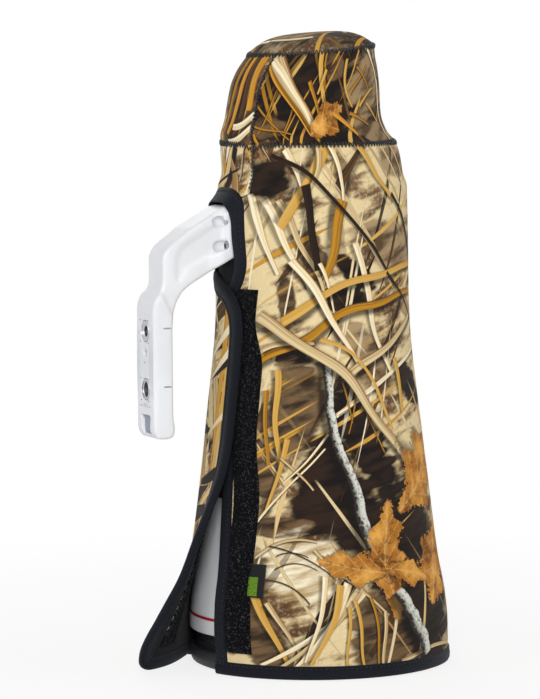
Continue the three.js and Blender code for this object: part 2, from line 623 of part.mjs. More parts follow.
const controlRing = () =>
  ring(REAR_JOURNAL_RADIUS + GAP, REAR_JOURNAL_RADIUS + 3.2, Z_CONTROL, Z_MOUNT - GAP, ROUND_SMALL + 8);
const MOUNT_RADIUS = REAR_JOURNAL_RADIUS - 1.5;
const SEAL_TOP = Z_MOUNT + 3;
const FLANGE_TOP = SEAL_TOP + 3.3;
const THROAT = 24;
const mountSeal = () =>
  ring(REAR_BORE - 3, MOUNT_RADIUS, Z_MOUNT + 1 + GAP, SEAL_TOP, ROUND_SMALL);
const bayonetMount = () => turned([
  [THROAT, SEAL_TOP + GAP], [MOUNT_RADIUS, SEAL_TOP + GAP], [MOUNT_RADIUS, FLANGE_TOP],
  [THROAT + 3, FLANGE_TOP], [THROAT + 3, FLANGE_TOP + 5], [THROAT, FLANGE_TOP + 5],
], ROUND_SMALL);
const REAR_CAP_RADIUS = REAR_JOURNAL_RADIUS - 0.5;
const REAR_CAP_TOP = FLANGE_TOP + 17;
const rearCap = () => turned([
  [THROAT + 5, FLANGE_TOP + GAP], [REAR_CAP_RADIUS, FLANGE_TOP + GAP], [REAR_CAP_RADIUS, REAR_CAP_TOP - 2],
  [REAR_CAP_RADIUS - 2, REAR_CAP_TOP], [0, REAR_CAP_TOP], [0, REAR_CAP_TOP - 3],
  [THROAT + 5, REAR_CAP_TOP - 3],
], ROUND_SMALL);

// ---- The collar, its lock and the foot ----
const COLLAR_HALF = 16;
const COLLAR_INNER = JOURNAL_RADIUS + 0.4;
const COLLAR_OUTER = JOURNAL_RADIUS + 6.5;
const SEAT = COLLAR_OUTER + 0.3; // the flat that the foot is screwed to, from the axis
const SCREW_LEVELS = [Z_COLLAR - 7, Z_COLLAR + 9.3];
const SCREW_TIP = SEAT - 5;
const SCREW_HEAD_LOW = SEAT + GAP + 9;
const SCREW_PLACES = SCREW_LEVELS.flatMap((z) => [-SCREW_SPREAD, SCREW_SPREAD].map((y) => [y, z]));
const LOCK_SHAFT_RADIUS = 2.5;

function collarRing() {
  const band = ring(COLLAR_INNER, COLLAR_OUTER, Z_COLLAR - COLLAR_HALF, Z_COLLAR + COLLAR_HALF);
  const seat = new THREE.BoxGeometry(SEAT, 2 * FOOT_ROOT_HALF + 3, 2 * COLLAR_HALF)
    .translate(-SEAT / 2, 0, Z_COLLAR);
  const bore = new THREE.CylinderGeometry(COLLAR_INNER, COLLAR_INNER, 4 * COLLAR_HALF, ROUND)
    .rotateX(Math.PI / 2)
    .translate(0, 0, Z_COLLAR);
  const threads = SCREW_PLACES.map(([y, z]) =>
    barX(SCREW_SHANK_RADIUS + GAP, -SEAT - 1, -SCREW_TIP + GAP, y, z, 12));
  const lockHole = barX(LOCK_SHAFT_RADIUS + GAP, 0, 2 * COLLAR_OUTER, 0, Z_COLLAR, 12).rotateZ(-Math.PI / 2);
  return cut(join(band, seat), bore, ...threads, lockHole);
}

const lockKnob = () =>
  barX(8, COLLAR_OUTER + GAP, COLLAR_OUTER + 3.3, 0, Z_COLLAR).rotateZ(-Math.PI / 2);
const lockShaft = () =>
  barX(LOCK_SHAFT_RADIUS, COLLAR_INNER + GAP, COLLAR_OUTER, 0, Z_COLLAR, 12).rotateZ(-Math.PI / 2);

const FOOT_BACK = FOOT_REACH - LEG_THICK; // the leg's side that faces the barrel
const FOOT_ROOT = SEAT + GAP;
const LEG_LOW = Z_COLLAR - 128;
const LEG_HIGH = Z_COLLAR - 39;
const INSERT_LEVELS = [Z_COLLAR - 60, Z_COLLAR - 60 - INSERT_SPACING];

// The foot's side outline, as distances out from the axis and up from the collar's middle
function footArm() {
  const shape = new THREE.Shape();
  const to = (out, up) => [-out, Z_COLLAR + up];
  shape.moveTo(...to(FOOT_ROOT, -14.2));
  shape.lineTo(...to(FOOT_ROOT + 7.6, -14.2));
  shape.lineTo(...to(FOOT_BACK - 13.2, -30.8));
  shape.quadraticCurveTo(...to(FOOT_BACK - 1, -37), ...to(FOOT_BACK, -58.8));
  shape.lineTo(...to(FOOT_BACK, LEG_LOW + 10 - Z_COLLAR));
  shape.lineTo(...to(FOOT_REACH - 6, LEG_LOW + 10 - Z_COLLAR));
  shape.lineTo(...to(FOOT_REACH - 6, -34.5));
  shape.lineTo(...to(FOOT_REACH - 7.8, -29));
  shape.lineTo(...to(FOOT_REACH - 7.8, -13.5));
  shape.quadraticCurveTo(...to(FOOT_REACH - 8.3, -9.5), ...to(FOOT_REACH - 14, -6.5));
  shape.lineTo(...to(FOOT_ROOT + 24, 7.2));
  shape.quadraticCurveTo(...to(FOOT_ROOT + 17, 9.5), ...to(FOOT_ROOT + 15, 14.4));
  shape.lineTo(...to(FOOT_ROOT + 7, 16.4));
  shape.lineTo(...to(FOOT_ROOT, 15.8));
  return alongY(shape, FOOT_ARM_HALF);
}

function footLeg() {
  const shape = new THREE.Shape();
  const to = (out, z) => [-out, z];
  shape.moveTo(...to(FOOT_BACK, LEG_HIGH - 12));
  shape.lineTo(...to(FOOT_BACK, LEG_LOW + 13));
  shape.quadraticCurveTo(...to(FOOT_BACK - 3, LEG_LOW + 1), ...to(FOOT_BACK + 2.5, LEG_LOW));
  shape.lineTo(...to(FOOT_REACH - 3, LEG_LOW));
  shape.lineTo(...to(FOOT_REACH, LEG_LOW + 5));
  shape.lineTo(...to(FOOT_REACH, LEG_HIGH - 8));
  shape.quadraticCurveTo(...to(FOOT_REACH, LEG_HIGH), ...to(FOOT_REACH - 5.9, LEG_HIGH + 4.5));
  return alongY(shape, FOOT_PLATE_HALF);
}

// The root flares out to take the screws
function footRoot() {
  const [arm, root] = [FOOT_ARM_HALF - 0.2, FOOT_ROOT_HALF];
  const outline = [
    [-FOOT_ROOT, -root], [-FOOT_ROOT, root], [-FOOT_ROOT - 16, root],
    [-FOOT_ROOT - 25, arm], [-FOOT_ROOT - 25, -arm], [-FOOT_ROOT - 16, -root],
  ].map(([x, y]) => new THREE.Vector2(x, y));
  const settings = { depth: 60, bevelEnabled: false };
  const block = new THREE.ExtrudeGeometry(new THREE.Shape(outline), settings).translate(0, 0, Z_COLLAR - 30);
  const side = new THREE.Shape([
    [FOOT_ROOT, -14.2], [FOOT_ROOT + 7.6, -14.2], [FOOT_ROOT + 26, -24], [FOOT_ROOT + 26, 6],
    [FOOT_ROOT + 17, 9.5], [FOOT_ROOT + 15, 14.4], [FOOT_ROOT + 7, 16.4], [FOOT_ROOT, 15.8],
  ].map(([out, up]) => new THREE.Vector2(-out, Z_COLLAR + up)));
  return common(block, alongY(side, FOOT_ROOT_HALF + 1));
}

function foot() {
  const body = join(footArm(), footLeg(), footRoot());
  const screwHoles = SCREW_PLACES.flatMap(([y, z]) => [
    barX(SCREW_SHANK_RADIUS + GAP, -SCREW_HEAD_LOW - 5, -FOOT_ROOT + 5, y, z, 12),
    barX(SCREW_HEAD_RADIUS + GAP, -SCREW_HEAD_LOW - 40, -SCREW_HEAD_LOW + GAP, y, z, 14),
  ]);
  const insertHoles = INSERT_LEVELS.map((z) =>
    barX(INSERT_RADIUS + GAP, -FOOT_REACH - 5, -FOOT_REACH + INSERT_DEPTH + GAP, 0, z, 20));
  return cut(body, ...screwHoles, ...insertHoles);
}

function footScrew() {
  const head = barX(SCREW_HEAD_RADIUS, -SCREW_HEAD_LOW - 4, -SCREW_HEAD_LOW, 0, 0, 14);
  const shank = barX(SCREW_SHANK_RADIUS, -SCREW_HEAD_LOW - 1, -SCREW_TIP, 0, 0, 12);
  const key = barX(2, -SCREW_HEAD_LOW - 5, -SCREW_HEAD_LOW - 1.8, 0, 0, 6);
  return cut(join(head, shank), key);
}

function footInsert(thread) {
  const outer = barX(INSERT_RADIUS, -FOOT_REACH + 0.1, -FOOT_REACH + INSERT_DEPTH, 0, 0, 20);
  return cut(outer, barX(thread, -FOOT_REACH - 1, -FOOT_REACH + INSERT_DEPTH + 1, 0, 0, 16));
}

// ---- Materials ----
const finish = (color, roughness, metalness = 0) =>
  new THREE.MeshStandardMaterial({ color, roughness, metalness });
const PRINTED = finish('#8f7447', 0.9);
const BINDING = finish('#171a22', 0.8);
const LINING = finish('#15161a', 0.95);
const WHITE = finish('#e9e9ea', 0.35);
const BLACK = finish('#1b1c1e', 0.6);
const RUBBER = finish('#202122', 0.9);
const RED = finish('#c41a22', 0.4);
const STEEL = finish('#a9abad', 0.3, 1);
const GLASS = finish('#5d6f86', 0.05);

// ---- Assembly ----
function piece(name, geometry, material, place = [0, 0, 0], turn = 0) {
  const mesh = new THREE.Mesh(geometry, material);
  mesh.name = name;
  mesh.position.set(...place);
  mesh.rotation.z = turn;
  return mesh;
}

const cover = new THREE.Group().add(
  piece('cover_body', coverBody(), PRINTED),
  piece('cover_sleeve', coverSleeve(), PRINTED),
  piece('cover_top', coverTop(), PRINTED),
  piece('opening_binding', openingBinding(), BINDING),
  piece('hem_binding', hemBinding(), BINDING),
  piece('loop_strip', loopStrip(), LINING),
  piece('label_tab', labelTab(), LINING),
  piece('flap_panel', flapPanel(), PRINTED),
  piece('flap_binding', flapBinding(), BINDING),
  piece('hook_strip', hookStrip(), LINING),
);

const buttons = Array.from({ length: BUTTONS }, (_, i) =>
  piece(`function_button_${i + 1}`, functionButton(), RUBBER, [0, 0, BUTTON_LEVEL], buttonTurn(i)));
const switches = Array.from({ length: SWITCHES }, (_, i) => piece(`switch_${i + 1}`, switchKnob(i), BLACK));
const lugs = [0, 1].map((i) =>
  piece(`strap_lug_${i + 1}`, strapLug().translate(0, REAR_RADIUS + GAP, 0), STEEL, [0, 0, LUG_LEVEL], i * Math.PI));
const barrel = new THREE.Group().add(
  piece('front_cap', frontCap(), BLACK),
  piece('hood_ring', hoodRing(), BLACK),
  piece('front_element', frontElement(), GLASS),
  piece('front_barrel', frontBarrel(), WHITE),
  piece('red_ring', redRing(), RED),
  ...buttons,
  piece('focus_ring', focusRing(), RUBBER),
  piece('mid_barrel', midBarrel(), WHITE),
  piece('switch_plate', switchPlate(), BLACK),
  ...switches,
  piece('second_cell', secondCell(), BLACK),
  piece('second_element', secondElement(), GLASS),
  piece('focus_cell', focusCell(), BLACK),
  piece('focus_element', focusElement(), GLASS),
  piece('rear_barrel', rearBarrel(), WHITE),
  ...lugs,
  piece('control_ring', controlRing(), RUBBER),
  piece('rear_cell', rearCell(), BLACK),
  piece('rear_element', rearElement(), GLASS),
  piece('mount_seal', mountSeal(), RUBBER),
  piece('bayonet_mount', bayonetMount(), STEEL),
  piece('rear_cap', rearCap(), BLACK),
);

const screws = SCREW_PLACES.map(([y, z], i) => piece(`foot_screw_${i + 1}`, footScrew(), STEEL, [0, y, z]));
const [smallLevel, largeLevel] = INSERT_LEVELS;
const collar = new THREE.Group().add(
  piece('collar_ring', collarRing(), WHITE),
  piece('lock_knob', lockKnob(), BLACK),
  piece('lock_shaft', lockShaft(), STEEL),
  piece('foot', foot(), WHITE),
  ...screws,
  piece('insert_small', footInsert(SMALL_THREAD_RADIUS), STEEL, [0, 0, smallLevel]),
  piece('insert_large', footInsert(LARGE_THREAD_RADIUS), STEEL, [0, 0, largeLevel]),
);

const lensInCover = new THREE.Group().add(cover, barrel, collar);
export default lensInCover;
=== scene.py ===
"""A long white lens in its printed neoprene travel cover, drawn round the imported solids.

Lengths are in millimetres until a mesh is made, and the frame is the record's: Z runs up the lens
from its front cap, and the tripod foot points to -X. The angle alpha of a point on the cover runs
from -X towards -Y, and "offset" is how far a point lies outwards from the cover's outside.
"""
from math import cos, pi, radians, sin

import bmesh
import bpy
import numpy as np
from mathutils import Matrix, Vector


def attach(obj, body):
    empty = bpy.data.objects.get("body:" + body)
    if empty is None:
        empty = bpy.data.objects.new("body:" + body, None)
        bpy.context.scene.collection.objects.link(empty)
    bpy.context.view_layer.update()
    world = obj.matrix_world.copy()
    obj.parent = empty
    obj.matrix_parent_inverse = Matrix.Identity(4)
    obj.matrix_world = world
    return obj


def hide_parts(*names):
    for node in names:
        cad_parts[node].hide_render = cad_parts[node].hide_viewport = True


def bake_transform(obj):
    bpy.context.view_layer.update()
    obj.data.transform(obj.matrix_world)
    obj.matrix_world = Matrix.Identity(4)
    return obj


MM = 0.001
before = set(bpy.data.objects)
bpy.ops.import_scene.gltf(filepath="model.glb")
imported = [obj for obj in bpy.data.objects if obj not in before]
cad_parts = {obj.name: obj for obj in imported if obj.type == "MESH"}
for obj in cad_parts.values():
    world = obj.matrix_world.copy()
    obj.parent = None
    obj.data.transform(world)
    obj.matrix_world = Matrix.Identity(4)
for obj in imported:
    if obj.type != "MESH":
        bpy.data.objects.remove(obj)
bpy.context.scene.view_settings.view_transform = "Standard"
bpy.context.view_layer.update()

# ---- Sizes that the looks share with the solids ----
FABRIC = 3.5
EASE = 0.6
BINDING_WIDTH = 9.5
HEM_LOW = 1.5
Z_FRONT = 23.0
Z_COLLAR, Z_SHOULDER, Z_SLEEVE_TOP = 278.0, 335.0, 394.0
SHOULDER_RADIUS, RIM_RADIUS = 56.1, 40.5
UNROLL = 70  # millimetres of cloth drawn for each radian round the cover
FLAP_TOP = 254.0
DOME_HEIGHT = 10.5
FOOT_REACH = 116.8
INSERT_LEVELS = (218, 181)

# height, radius of the lens
LENS_OUTLINE = [(0, 81.5), (24, 81.5), (45, 79.9), (66, 76.1), (110, 70), (150, 65.2), (220, 58.1), (278, 56.9),
                (300, 56.6)]
# height, radius, shift towards the foot and tilt of the cover's rings
BODY_RINGS = [(z, r + EASE + FABRIC, 0, 0) for z, r in LENS_OUTLINE] + [
    (306, 60.6, 0, 0), (316, 58.1, 0.3, 0), (326, 57.5, 1.4, 0), (335, SHOULDER_RADIUS, 3, 0),
    (338, 54.6, 4, 0)]
SLEEVE_RINGS = [(332, 57.0, 2, 0), (335, SHOULDER_RADIUS, 3, 0), (342, 53.1, 5.8, 0), (351, 50, 6.3, 0),
                (372, 47.4, 4.9, 0.01), (382, 44.9, 3.5, 0.03), (387, 43, 2.6, 0.05), (394, RIM_RADIUS, 0.3, 0.074)]


def through(rows, t, column=1):
    """The smooth curve through a table's rows at t: cubic between rows, and never past their values."""
    x, y = (np.array([row[k] for row in rows], float) for k in (0, column))
    step, rise = np.diff(x), np.diff(y) / np.diff(x)
    slope = np.concatenate([rise[:1], np.zeros(len(x) - 2), rise[-1:]])
    agree = rise[1:] * rise[:-1] > 0
    slope[1:-1] = np.where(agree, 2 * rise[1:] * rise[:-1] / np.where(agree, rise[1:] + rise[:-1], 1), 0)
    t = np.clip(t, x[0], x[-1])
    i = np.clip(np.searchsorted(x, t) - 1, 0, len(x) - 2)
    s = (t - x[i]) / step[i]
    near = y[i] * (1 + 2 * s) + slope[i] * step[i] * s
    far = y[i + 1] * (3 - 2 * s) - slope[i + 1] * step[i] * (1 - s)
    return near * (1 - s) ** 2 + far * s ** 2


# ---- The cover's surface ----
def swell(alpha, z):
    """How far the cloth stands out: a bell round the foot's root, and slow waves a third of a millimetre high."""
    rise = z - 288
    bell = 7 * np.exp(-((rise / np.where(rise > 0, 8, 24)) ** 2) / 2 - (wrap(alpha) / radians(22)) ** 2 / 2)
    waves = np.sin(3 * alpha + z / 31 + 1) + 0.7 * np.sin(5 * alpha - z / 23) + 0.5 * np.sin(z / 13 + 2 * alpha)
    return bell + 0.16 * waves


def wrap(angle):
    """An angle brought to the half turn either side of zero."""
    return (angle + pi) % (2 * pi) - pi


def on_cover(alpha, z, offset=0.0, rings=BODY_RINGS):
    """A point of the cover: on a circle of the rings' radius, swollen, then shifted and tilted as they say."""
    radius = through(rings, z) + swell(alpha, z) + offset
    x = -radius * np.cos(alpha) - through(rings, z, 2)
    return np.stack(np.broadcast_arrays(x, -radius * np.sin(alpha), z + x * through(rings, z, 3)), -1)


def facing(y, z, offset=0.0):
    """The angle alpha of the cover's point that has this Y and Z, on the foot's side."""
    alpha = np.arcsin(np.clip(-y / through(BODY_RINGS, z), -0.99, 0.99))
    for _ in range(4):
        alpha = np.arcsin(np.clip(-y / (through(BODY_RINGS, z) + swell(alpha, z) + offset), -0.99, 0.99))
    return alpha


# ---- The opening: a keyhole over a slit ----
KEYHOLE_HALF, KEYHOLE_TOP, KEYHOLE_CORNER = 17.0, 298.0, 10.0
SLIT_TOP = 240.0
SLIT_EDGE_LOW, SLIT_EDGE_HIGH = -28.0, -4.0
HINGE_LOW = np.array([-66.07, 51.62, 1.5])
HINGE_TOP = np.array([-59.8, 14.9, FLAP_TOP])


def hinge_y(z):
    """Y of the line that the flap hangs from: straight between its two ends."""
    share = (z - HINGE_LOW[2]) / (HINGE_TOP[2] - HINGE_LOW[2])
    return HINGE_LOW[1] + share * (HINGE_TOP[1] - HINGE_LOW[1])


def even(points, spacing, soften=0.0):
    """A path resampled at an even spacing, after its corners are averaged over a length."""
    points = np.asarray(points, float)
    length = np.concatenate([[0], np.cumsum(np.linalg.norm(np.diff(points, axis=0), axis=1))])
    fine = np.linspace(0, length[-1], max(int(length[-1] / 0.5), 8))
    path = np.stack([np.interp(fine, length, c) for c in points.T], -1)
    if soften:
        reach = max(int(soften / 0.5), 1)
        padded = np.concatenate([2 * path[0] - path[reach:0:-1], path, 2 * path[-1] - path[-2:-reach - 2:-1]])
        kernel = np.hanning(2 * reach + 3)[1:-1]
        path = np.stack([np.convolve(c, kernel / kernel.sum(), "valid") for c in padded.T], -1)
        fine = np.concatenate([[0], np.cumsum(np.linalg.norm(np.diff(path, axis=0), axis=1))])
    count = max(int(fine[-1] / spacing), 2) + 1
    return np.stack([np.interp(np.linspace(0, fine[-1], count), fine, c) for c in path.T], -1)


def arc(centre, radius, start, end, steps=8):
    """Points along an arc between two angles."""
    turn = np.linspace(start, end, steps)
    return np.stack([centre[0] + radius * np.cos(turn), centre[1] + radius * np.sin(turn)], -1)


def opening_route():
    """The opening's edge in Y and Z: up the slit, round the keyhole and down to the flap's top."""
    corner = KEYHOLE_HALF - KEYHOLE_CORNER
    high = KEYHOLE_TOP - KEYHOLE_CORNER
    bend = np.array([[SLIT_EDGE_HIGH, SLIT_TOP], [-KEYHOLE_HALF, SLIT_TOP + 12], [-KEYHOLE_HALF, SLIT_TOP + 24]])
    s = np.linspace(0, 1, 9)[:, None]
    turn = bend[0] * (1 - s) ** 2 + 2 * bend[1] * s * (1 - s) + bend[2] * s ** 2
    parts = [[[SLIT_EDGE_LOW + 0.2, 7.6]], turn, arc((-corner, high), KEYHOLE_CORNER, pi, pi / 2),
             arc((corner, high), KEYHOLE_CORNER, pi / 2, 0), [[KEYHOLE_HALF, FLAP_TOP + 3]]]
    return even(np.concatenate(parts), 1.6, soften=4)


# ---- The flap ----
# height, alpha in degrees, lift off the cover, outward curl in degrees and the angle it leaves the cover at
FLAP_EDGE = [(0, 4, 45, 84, 1), (12, 4.6, 41.5, 80, 1), (35, 8.4, 31.5, 68, 1), (60, 12.6, 24.5, 55, 1),
             (85, 15.2, 19.3, 45, 2), (108, 17.6, 13.3, 34, 4), (133, 19.7, 8, 18, 7), (160, 21.9, 6.0, 8, 11),
             (190, 23.5, 5.4, 0, 13), (222, 23.9, 5.4, 0, 14), (258, 23.9, 5.4, 0, 16)]
FLAP_TOP_CORNER, FLAP_LOW_CORNER = 0.32, 0.13
FLAP_ROOT = -0.02


def corner_rise(across, share, height):
    """How far a rounded corner has risen or dropped: an ellipse over the last share of the width."""
    near = np.clip((across - 1 + share) / share, 0, 1)
    return height * (1 - np.sqrt(np.clip(1 - near ** 2, 0, 1)))


def flap_low(across):
    """Z of the flap's hem."""
    return HEM_LOW + 1 + corner_rise(across, FLAP_LOW_CORNER, 12)


def flap_high(across):
    """Z of the flap's top edge, which slopes down to a rounded corner."""
    return FLAP_TOP - 14 * across - corner_rise(across, FLAP_TOP_CORNER, 20)


def flap_middle(across, z):
    """The flap's middle surface: at each height a cubic curve from the hinge line to the free edge."""
    root_alpha = -np.arcsin(hinge_y(z) / (through(BODY_RINGS, z) - FABRIC / 2))
    alpha, curl, leave = (np.radians(through(FLAP_EDGE, z, k)) for k in (1, 3, 4))
    root = on_cover(root_alpha, z, -FABRIC / 2)
    edge = on_cover(alpha, z, through(FLAP_EDGE, z, 2))
    reach = np.linalg.norm(edge - root, axis=-1, keepdims=True) / 3

    def away(angle):
        return np.stack([np.sin(angle), -np.cos(angle), np.zeros_like(angle)], -1) * reach

    leaving, arriving = root + away(root_alpha - leave), edge - away(alpha - curl)
    s = across[..., None]
    return (root * (1 - s) ** 3 + 3 * leaving * s * (1 - s) ** 2 + 3 * arriving * s ** 2 * (1 - s)
            + edge * s ** 3)


def unit(v):
    """Vectors brought to length one."""
    return v / np.maximum(np.linalg.norm(v, axis=-1, keepdims=True), 1e-9)


def flap_at(across, z, offset=0.0):
    """A point beside the flap's middle surface, along its normal: positive on the printed side."""
    across, z, offset = np.broadcast_arrays(across, z, offset)
    step = 0.01
    low = np.minimum(across, 1 - step)
    along = flap_middle(low + step, z) - flap_middle(low, z)
    up = flap_middle(across, z + 1) - flap_middle(across, z - 1)
    return flap_middle(across, z) + unit(np.cross(along, up)) * offset[..., None]


# ---- Meshes ----
def make(name, points, quads, uv=None, kinds=None, caps=(), sharp=45, merge=0.02):
    """A closed mesh from points in millimetres and faces. uv has one row per corner of each quad."""
    mesh = bpy.data.meshes.new(name)
    mesh.from_pydata((np.asarray(points) * MM).tolist(), [], np.asarray(quads).tolist() + [list(c) for c in caps])
    if uv is not None:
        layer = mesh.uv_layers.new(name="cloth")
        rest = sum(len(c) for c in caps)
        flat = np.concatenate([np.asarray(uv).reshape(-1, 2) * MM, np.zeros((rest, 2))])
        layer.data.foreach_set("uv", flat.astype(np.float32).ravel())
    if kinds is not None:
        mesh.polygons.foreach_set("material_index", np.asarray(kinds, np.int32))
    work = bmesh.new()
    work.from_mesh(mesh)
    loose = [v for v in work.verts if not v.link_faces]
    bmesh.ops.delete(work, geom=loose, context="VERTS")
    if merge:
        bmesh.ops.remove_doubles(work, verts=work.verts, dist=merge * MM)
    bmesh.ops.recalc_face_normals(work, faces=work.faces)
    work.to_mesh(mesh)
    work.free()
    mesh.polygons.foreach_set("use_smooth", np.ones(len(mesh.polygons), bool))
    mesh.set_sharp_from_angle(angle=radians(sharp))
    made = bpy.data.objects.new(name, mesh)
    bpy.context.scene.collection.objects.link(made)
    return made


def corners(i, j, columns):
    """The four corner numbers of the cells at i, j of a grid with that many columns."""
    return np.stack([i * columns + j, (i + 1) * columns + j, (i + 1) * columns + j + 1, i * columns + j + 1], -1)


def slab(name, outer, inner, flat, keep=None, **more):
    """A sheet with thickness: two grids of points, joined by a rim round the cells that are kept."""
    rows, columns, _ = outer.shape
    keep = np.ones((rows - 1, columns - 1), bool) if keep is None else keep
    i, j = np.nonzero(keep)
    face = corners(i, j, columns)
    size = rows * columns
    quads, kinds = [face, face[:, ::-1] + size], [np.zeros(len(face)), np.ones(len(face))]
    framed = np.pad(keep, 1)
    for di, dj, a, b in ((-1, 0, 0, 3), (1, 0, 1, 2), (0, -1, 0, 1), (0, 1, 3, 2)):
        rim = ~framed[i + 1 + di, j + 1 + dj]
        low, high = face[rim, a], face[rim, b]
        quads.append(np.stack([low, high, high + size, low + size], -1))
        kinds.append(np.full(rim.sum(), 1))
    quads = np.concatenate(quads)
    uv = np.concatenate([flat.reshape(-1, 2)] * 2)[quads]
    return make(name, np.concatenate([outer.reshape(-1, 3), inner.reshape(-1, 3)]), quads, uv,
                np.concatenate(kinds), **more)


def sweep(name, rings, loop=False, **more):
    """A solid through rings of points, each ring closed. Its ends are closed too, unless it is a loop."""
    count, around, _ = rings.shape
    last = count if loop else count - 1
    i, j = np.divmod(np.arange(last * around), around)
    n, k = (i + 1) % count, (j + 1) % around
    quads = np.stack([i * around + j, n * around + j, n * around + k, i * around + k], -1)
    route = rings.mean(1)
    length = np.concatenate([[0], np.cumsum(np.linalg.norm(np.diff(route, axis=0), axis=1))])
    length = np.append(length, length[-1] + np.linalg.norm(route[-1] - route[0]))
    girth = np.concatenate([[0], np.cumsum(np.linalg.norm(np.diff(rings[0], axis=0), axis=1))])
    girth = np.append(girth, girth[-1] + np.linalg.norm(rings[0, -1] - rings[0, 0]))
    uv = np.stack([length[np.stack([i, i + 1, i + 1, i], -1)], girth[np.stack([j, j, j + 1, j + 1], -1)]], -1)
    caps = () if loop else (range(around), range((count - 1) * around, count * around))
    return make(name, rings.reshape(-1, 3), quads, uv, caps=caps, **more)


def turned(name, profile, segments=144, round_by=0.5, axis="z", at=(0, 0, 0), shape=None, **more):
    """A profile of (radius, height) corners, each corner eased, turned about an axis."""
    profile = np.array(profile, float)
    before, after = np.roll(profile, 1, 0), np.roll(profile, -1, 0)
    points = []
    for p, a, b in zip(profile, before, after):
        ease = [min(round_by, np.linalg.norm(q - p) / 2.5) for q in (a, b)]
        if p[0] < 1e-6 or min(ease) < 1e-6:
            points.append(p)
            continue
        s, e = p + (a - p) * ease[0] / np.linalg.norm(a - p), p + (b - p) * ease[1] / np.linalg.norm(b - p)
        points += [s * (1 - t) ** 2 + 2 * p * t * (1 - t) + e * t ** 2 for t in (0, 0.35, 0.65, 1)]
    points = np.array(points)
    turn = np.arange(segments) * 2 * pi / segments
    radius = np.repeat(points[None, :, 0], segments, 0)
    if shape is not None:
        radius = shape(radius, turn[:, None], points[None, :, 1])
    ring = np.stack([radius * np.cos(turn)[:, None], radius * np.sin(turn)[:, None],
                     np.repeat(points[None, :, 1], segments, 0)], -1)
    if axis == "x":
        ring = ring[..., [2, 0, 1]]
    return sweep(name, ring + np.array(at), loop=True, **more)


def thread(name, points, normals, radius, sides=6, **more):
    """A round thread along points: each ring lies across the path, and starts from the surface's normal."""
    ahead = unit(np.gradient(points, axis=0))
    side = unit(np.cross(ahead, normals))
    over = np.cross(side, ahead)
    turn = np.arange(sides) * 2 * pi / sides
    ring = over[:, None] * np.cos(turn)[None, :, None] + side[:, None] * np.sin(turn)[None, :, None]
    return sweep(name, points[:, None] + radius * ring, merge=0, sharp=80, **more)


def stitches(name, starts, ends, normals, radius, lift=0.5, sides=6):
    """Short round stitches from start to end, each a bar with pointed ends that bows off the cloth."""
    ahead = unit(ends - starts)
    side = unit(np.cross(ahead, normals))
    turn = np.arange(sides) * 2 * pi / sides
    share = np.array([0, 0.15, 0.5, 0.85, 1.0])
    thick = np.array([0.25, 0.8, 1, 0.8, 0.25]) * radius
    rise = np.array([-0.8, 0.2, 1, 0.2, -0.8]) * lift * radius
    middle = (starts[:, None] + (ends - starts)[:, None] * share[None, :, None]
              + normals[:, None] * rise[None, :, None])
    ring = (normals[:, None] * np.cos(turn)[None, :, None] + side[:, None] * np.sin(turn)[None, :, None])
    points = middle[:, :, None] + ring[:, None] * thick[None, :, None, None]
    count, steps, around = points.shape[:3]
    i, j = np.divmod(np.arange((steps - 1) * around), around)
    k = (j + 1) % around
    quads = np.stack([i * around + j, (i + 1) * around + j, (i + 1) * around + k, i * around + k], -1)
    base = np.arange(count)[:, None, None] * steps * around
    tips = np.arange(sides)[None, None, :] + base + np.array([0, (steps - 1) * around])[None, :, None]
    return make(name, points.reshape(-1, 3), (quads[None] + base).reshape(-1, 4),
                caps=tips.reshape(-1, sides).tolist(), merge=0, sharp=80)


def zigzag(name, place, normal, length, pitch=2.5, height=3.2, radius=0.36):
    """A zigzag thread along a seam: it swings from side to side every half pitch and dips at each turn.

    place(along, beside) gives points on the cloth, and normal(along) the cloth's normals.
    """
    turns = int(length / pitch * 2)
    steps = np.arange(turns * 4 + 1) / 4
    swing = np.abs((steps % 2) - 1) - 0.5
    dip = 0.42 * np.sin(pi * (steps % 1)) - 0.12
    along = steps / turns * length
    points = place(along, swing * height)
    return thread(name, points + normal(along) * (dip + radius * 0.4)[:, None], normal(along), radius)


# ---- Materials ----
class Wire:
    """A number that varies over a surface, as the socket that gives it. Expressions add the Math nodes."""

    def __init__(self, finish, socket):
        self.finish, self.socket = finish, socket

    def math(self, operation, *values):
        return self.finish.node("ShaderNodeMath", values, operation=operation)

    def size(self):
        return self.math("ABSOLUTE", self)

    def sine(self):
        return self.math("SINE", self)

    def part(self):
        """What is left above the whole number."""
        return self.math("FRACT", self)

    def step(self, low, high):
        """0 at low, 1 at high and smooth between, whichever of the two is larger."""
        return self.finish.node("ShaderNodeMapRange", (self, low, high, 0.0, 1.0), interpolation_type="SMOOTHSTEP")

    def other(self, name):
        """Another output of the same node."""
        return Wire(self.finish, self.socket.node.outputs[name])


def operator(operation, turned_round=False):
    """A method that adds the Math node of an operation on this number and another."""
    return lambda self, other: self.math(operation, *((other, self) if turned_round else (self, other)))


for word, operation in (("add", "ADD"), ("mul", "MULTIPLY"), ("sub", "SUBTRACT"), ("truediv", "DIVIDE")):
    setattr(Wire, f"__{word}__", operator(operation))
Wire.__radd__, Wire.__rmul__, Wire.__rsub__ = Wire.__add__, Wire.__mul__, operator("SUBTRACT", True)


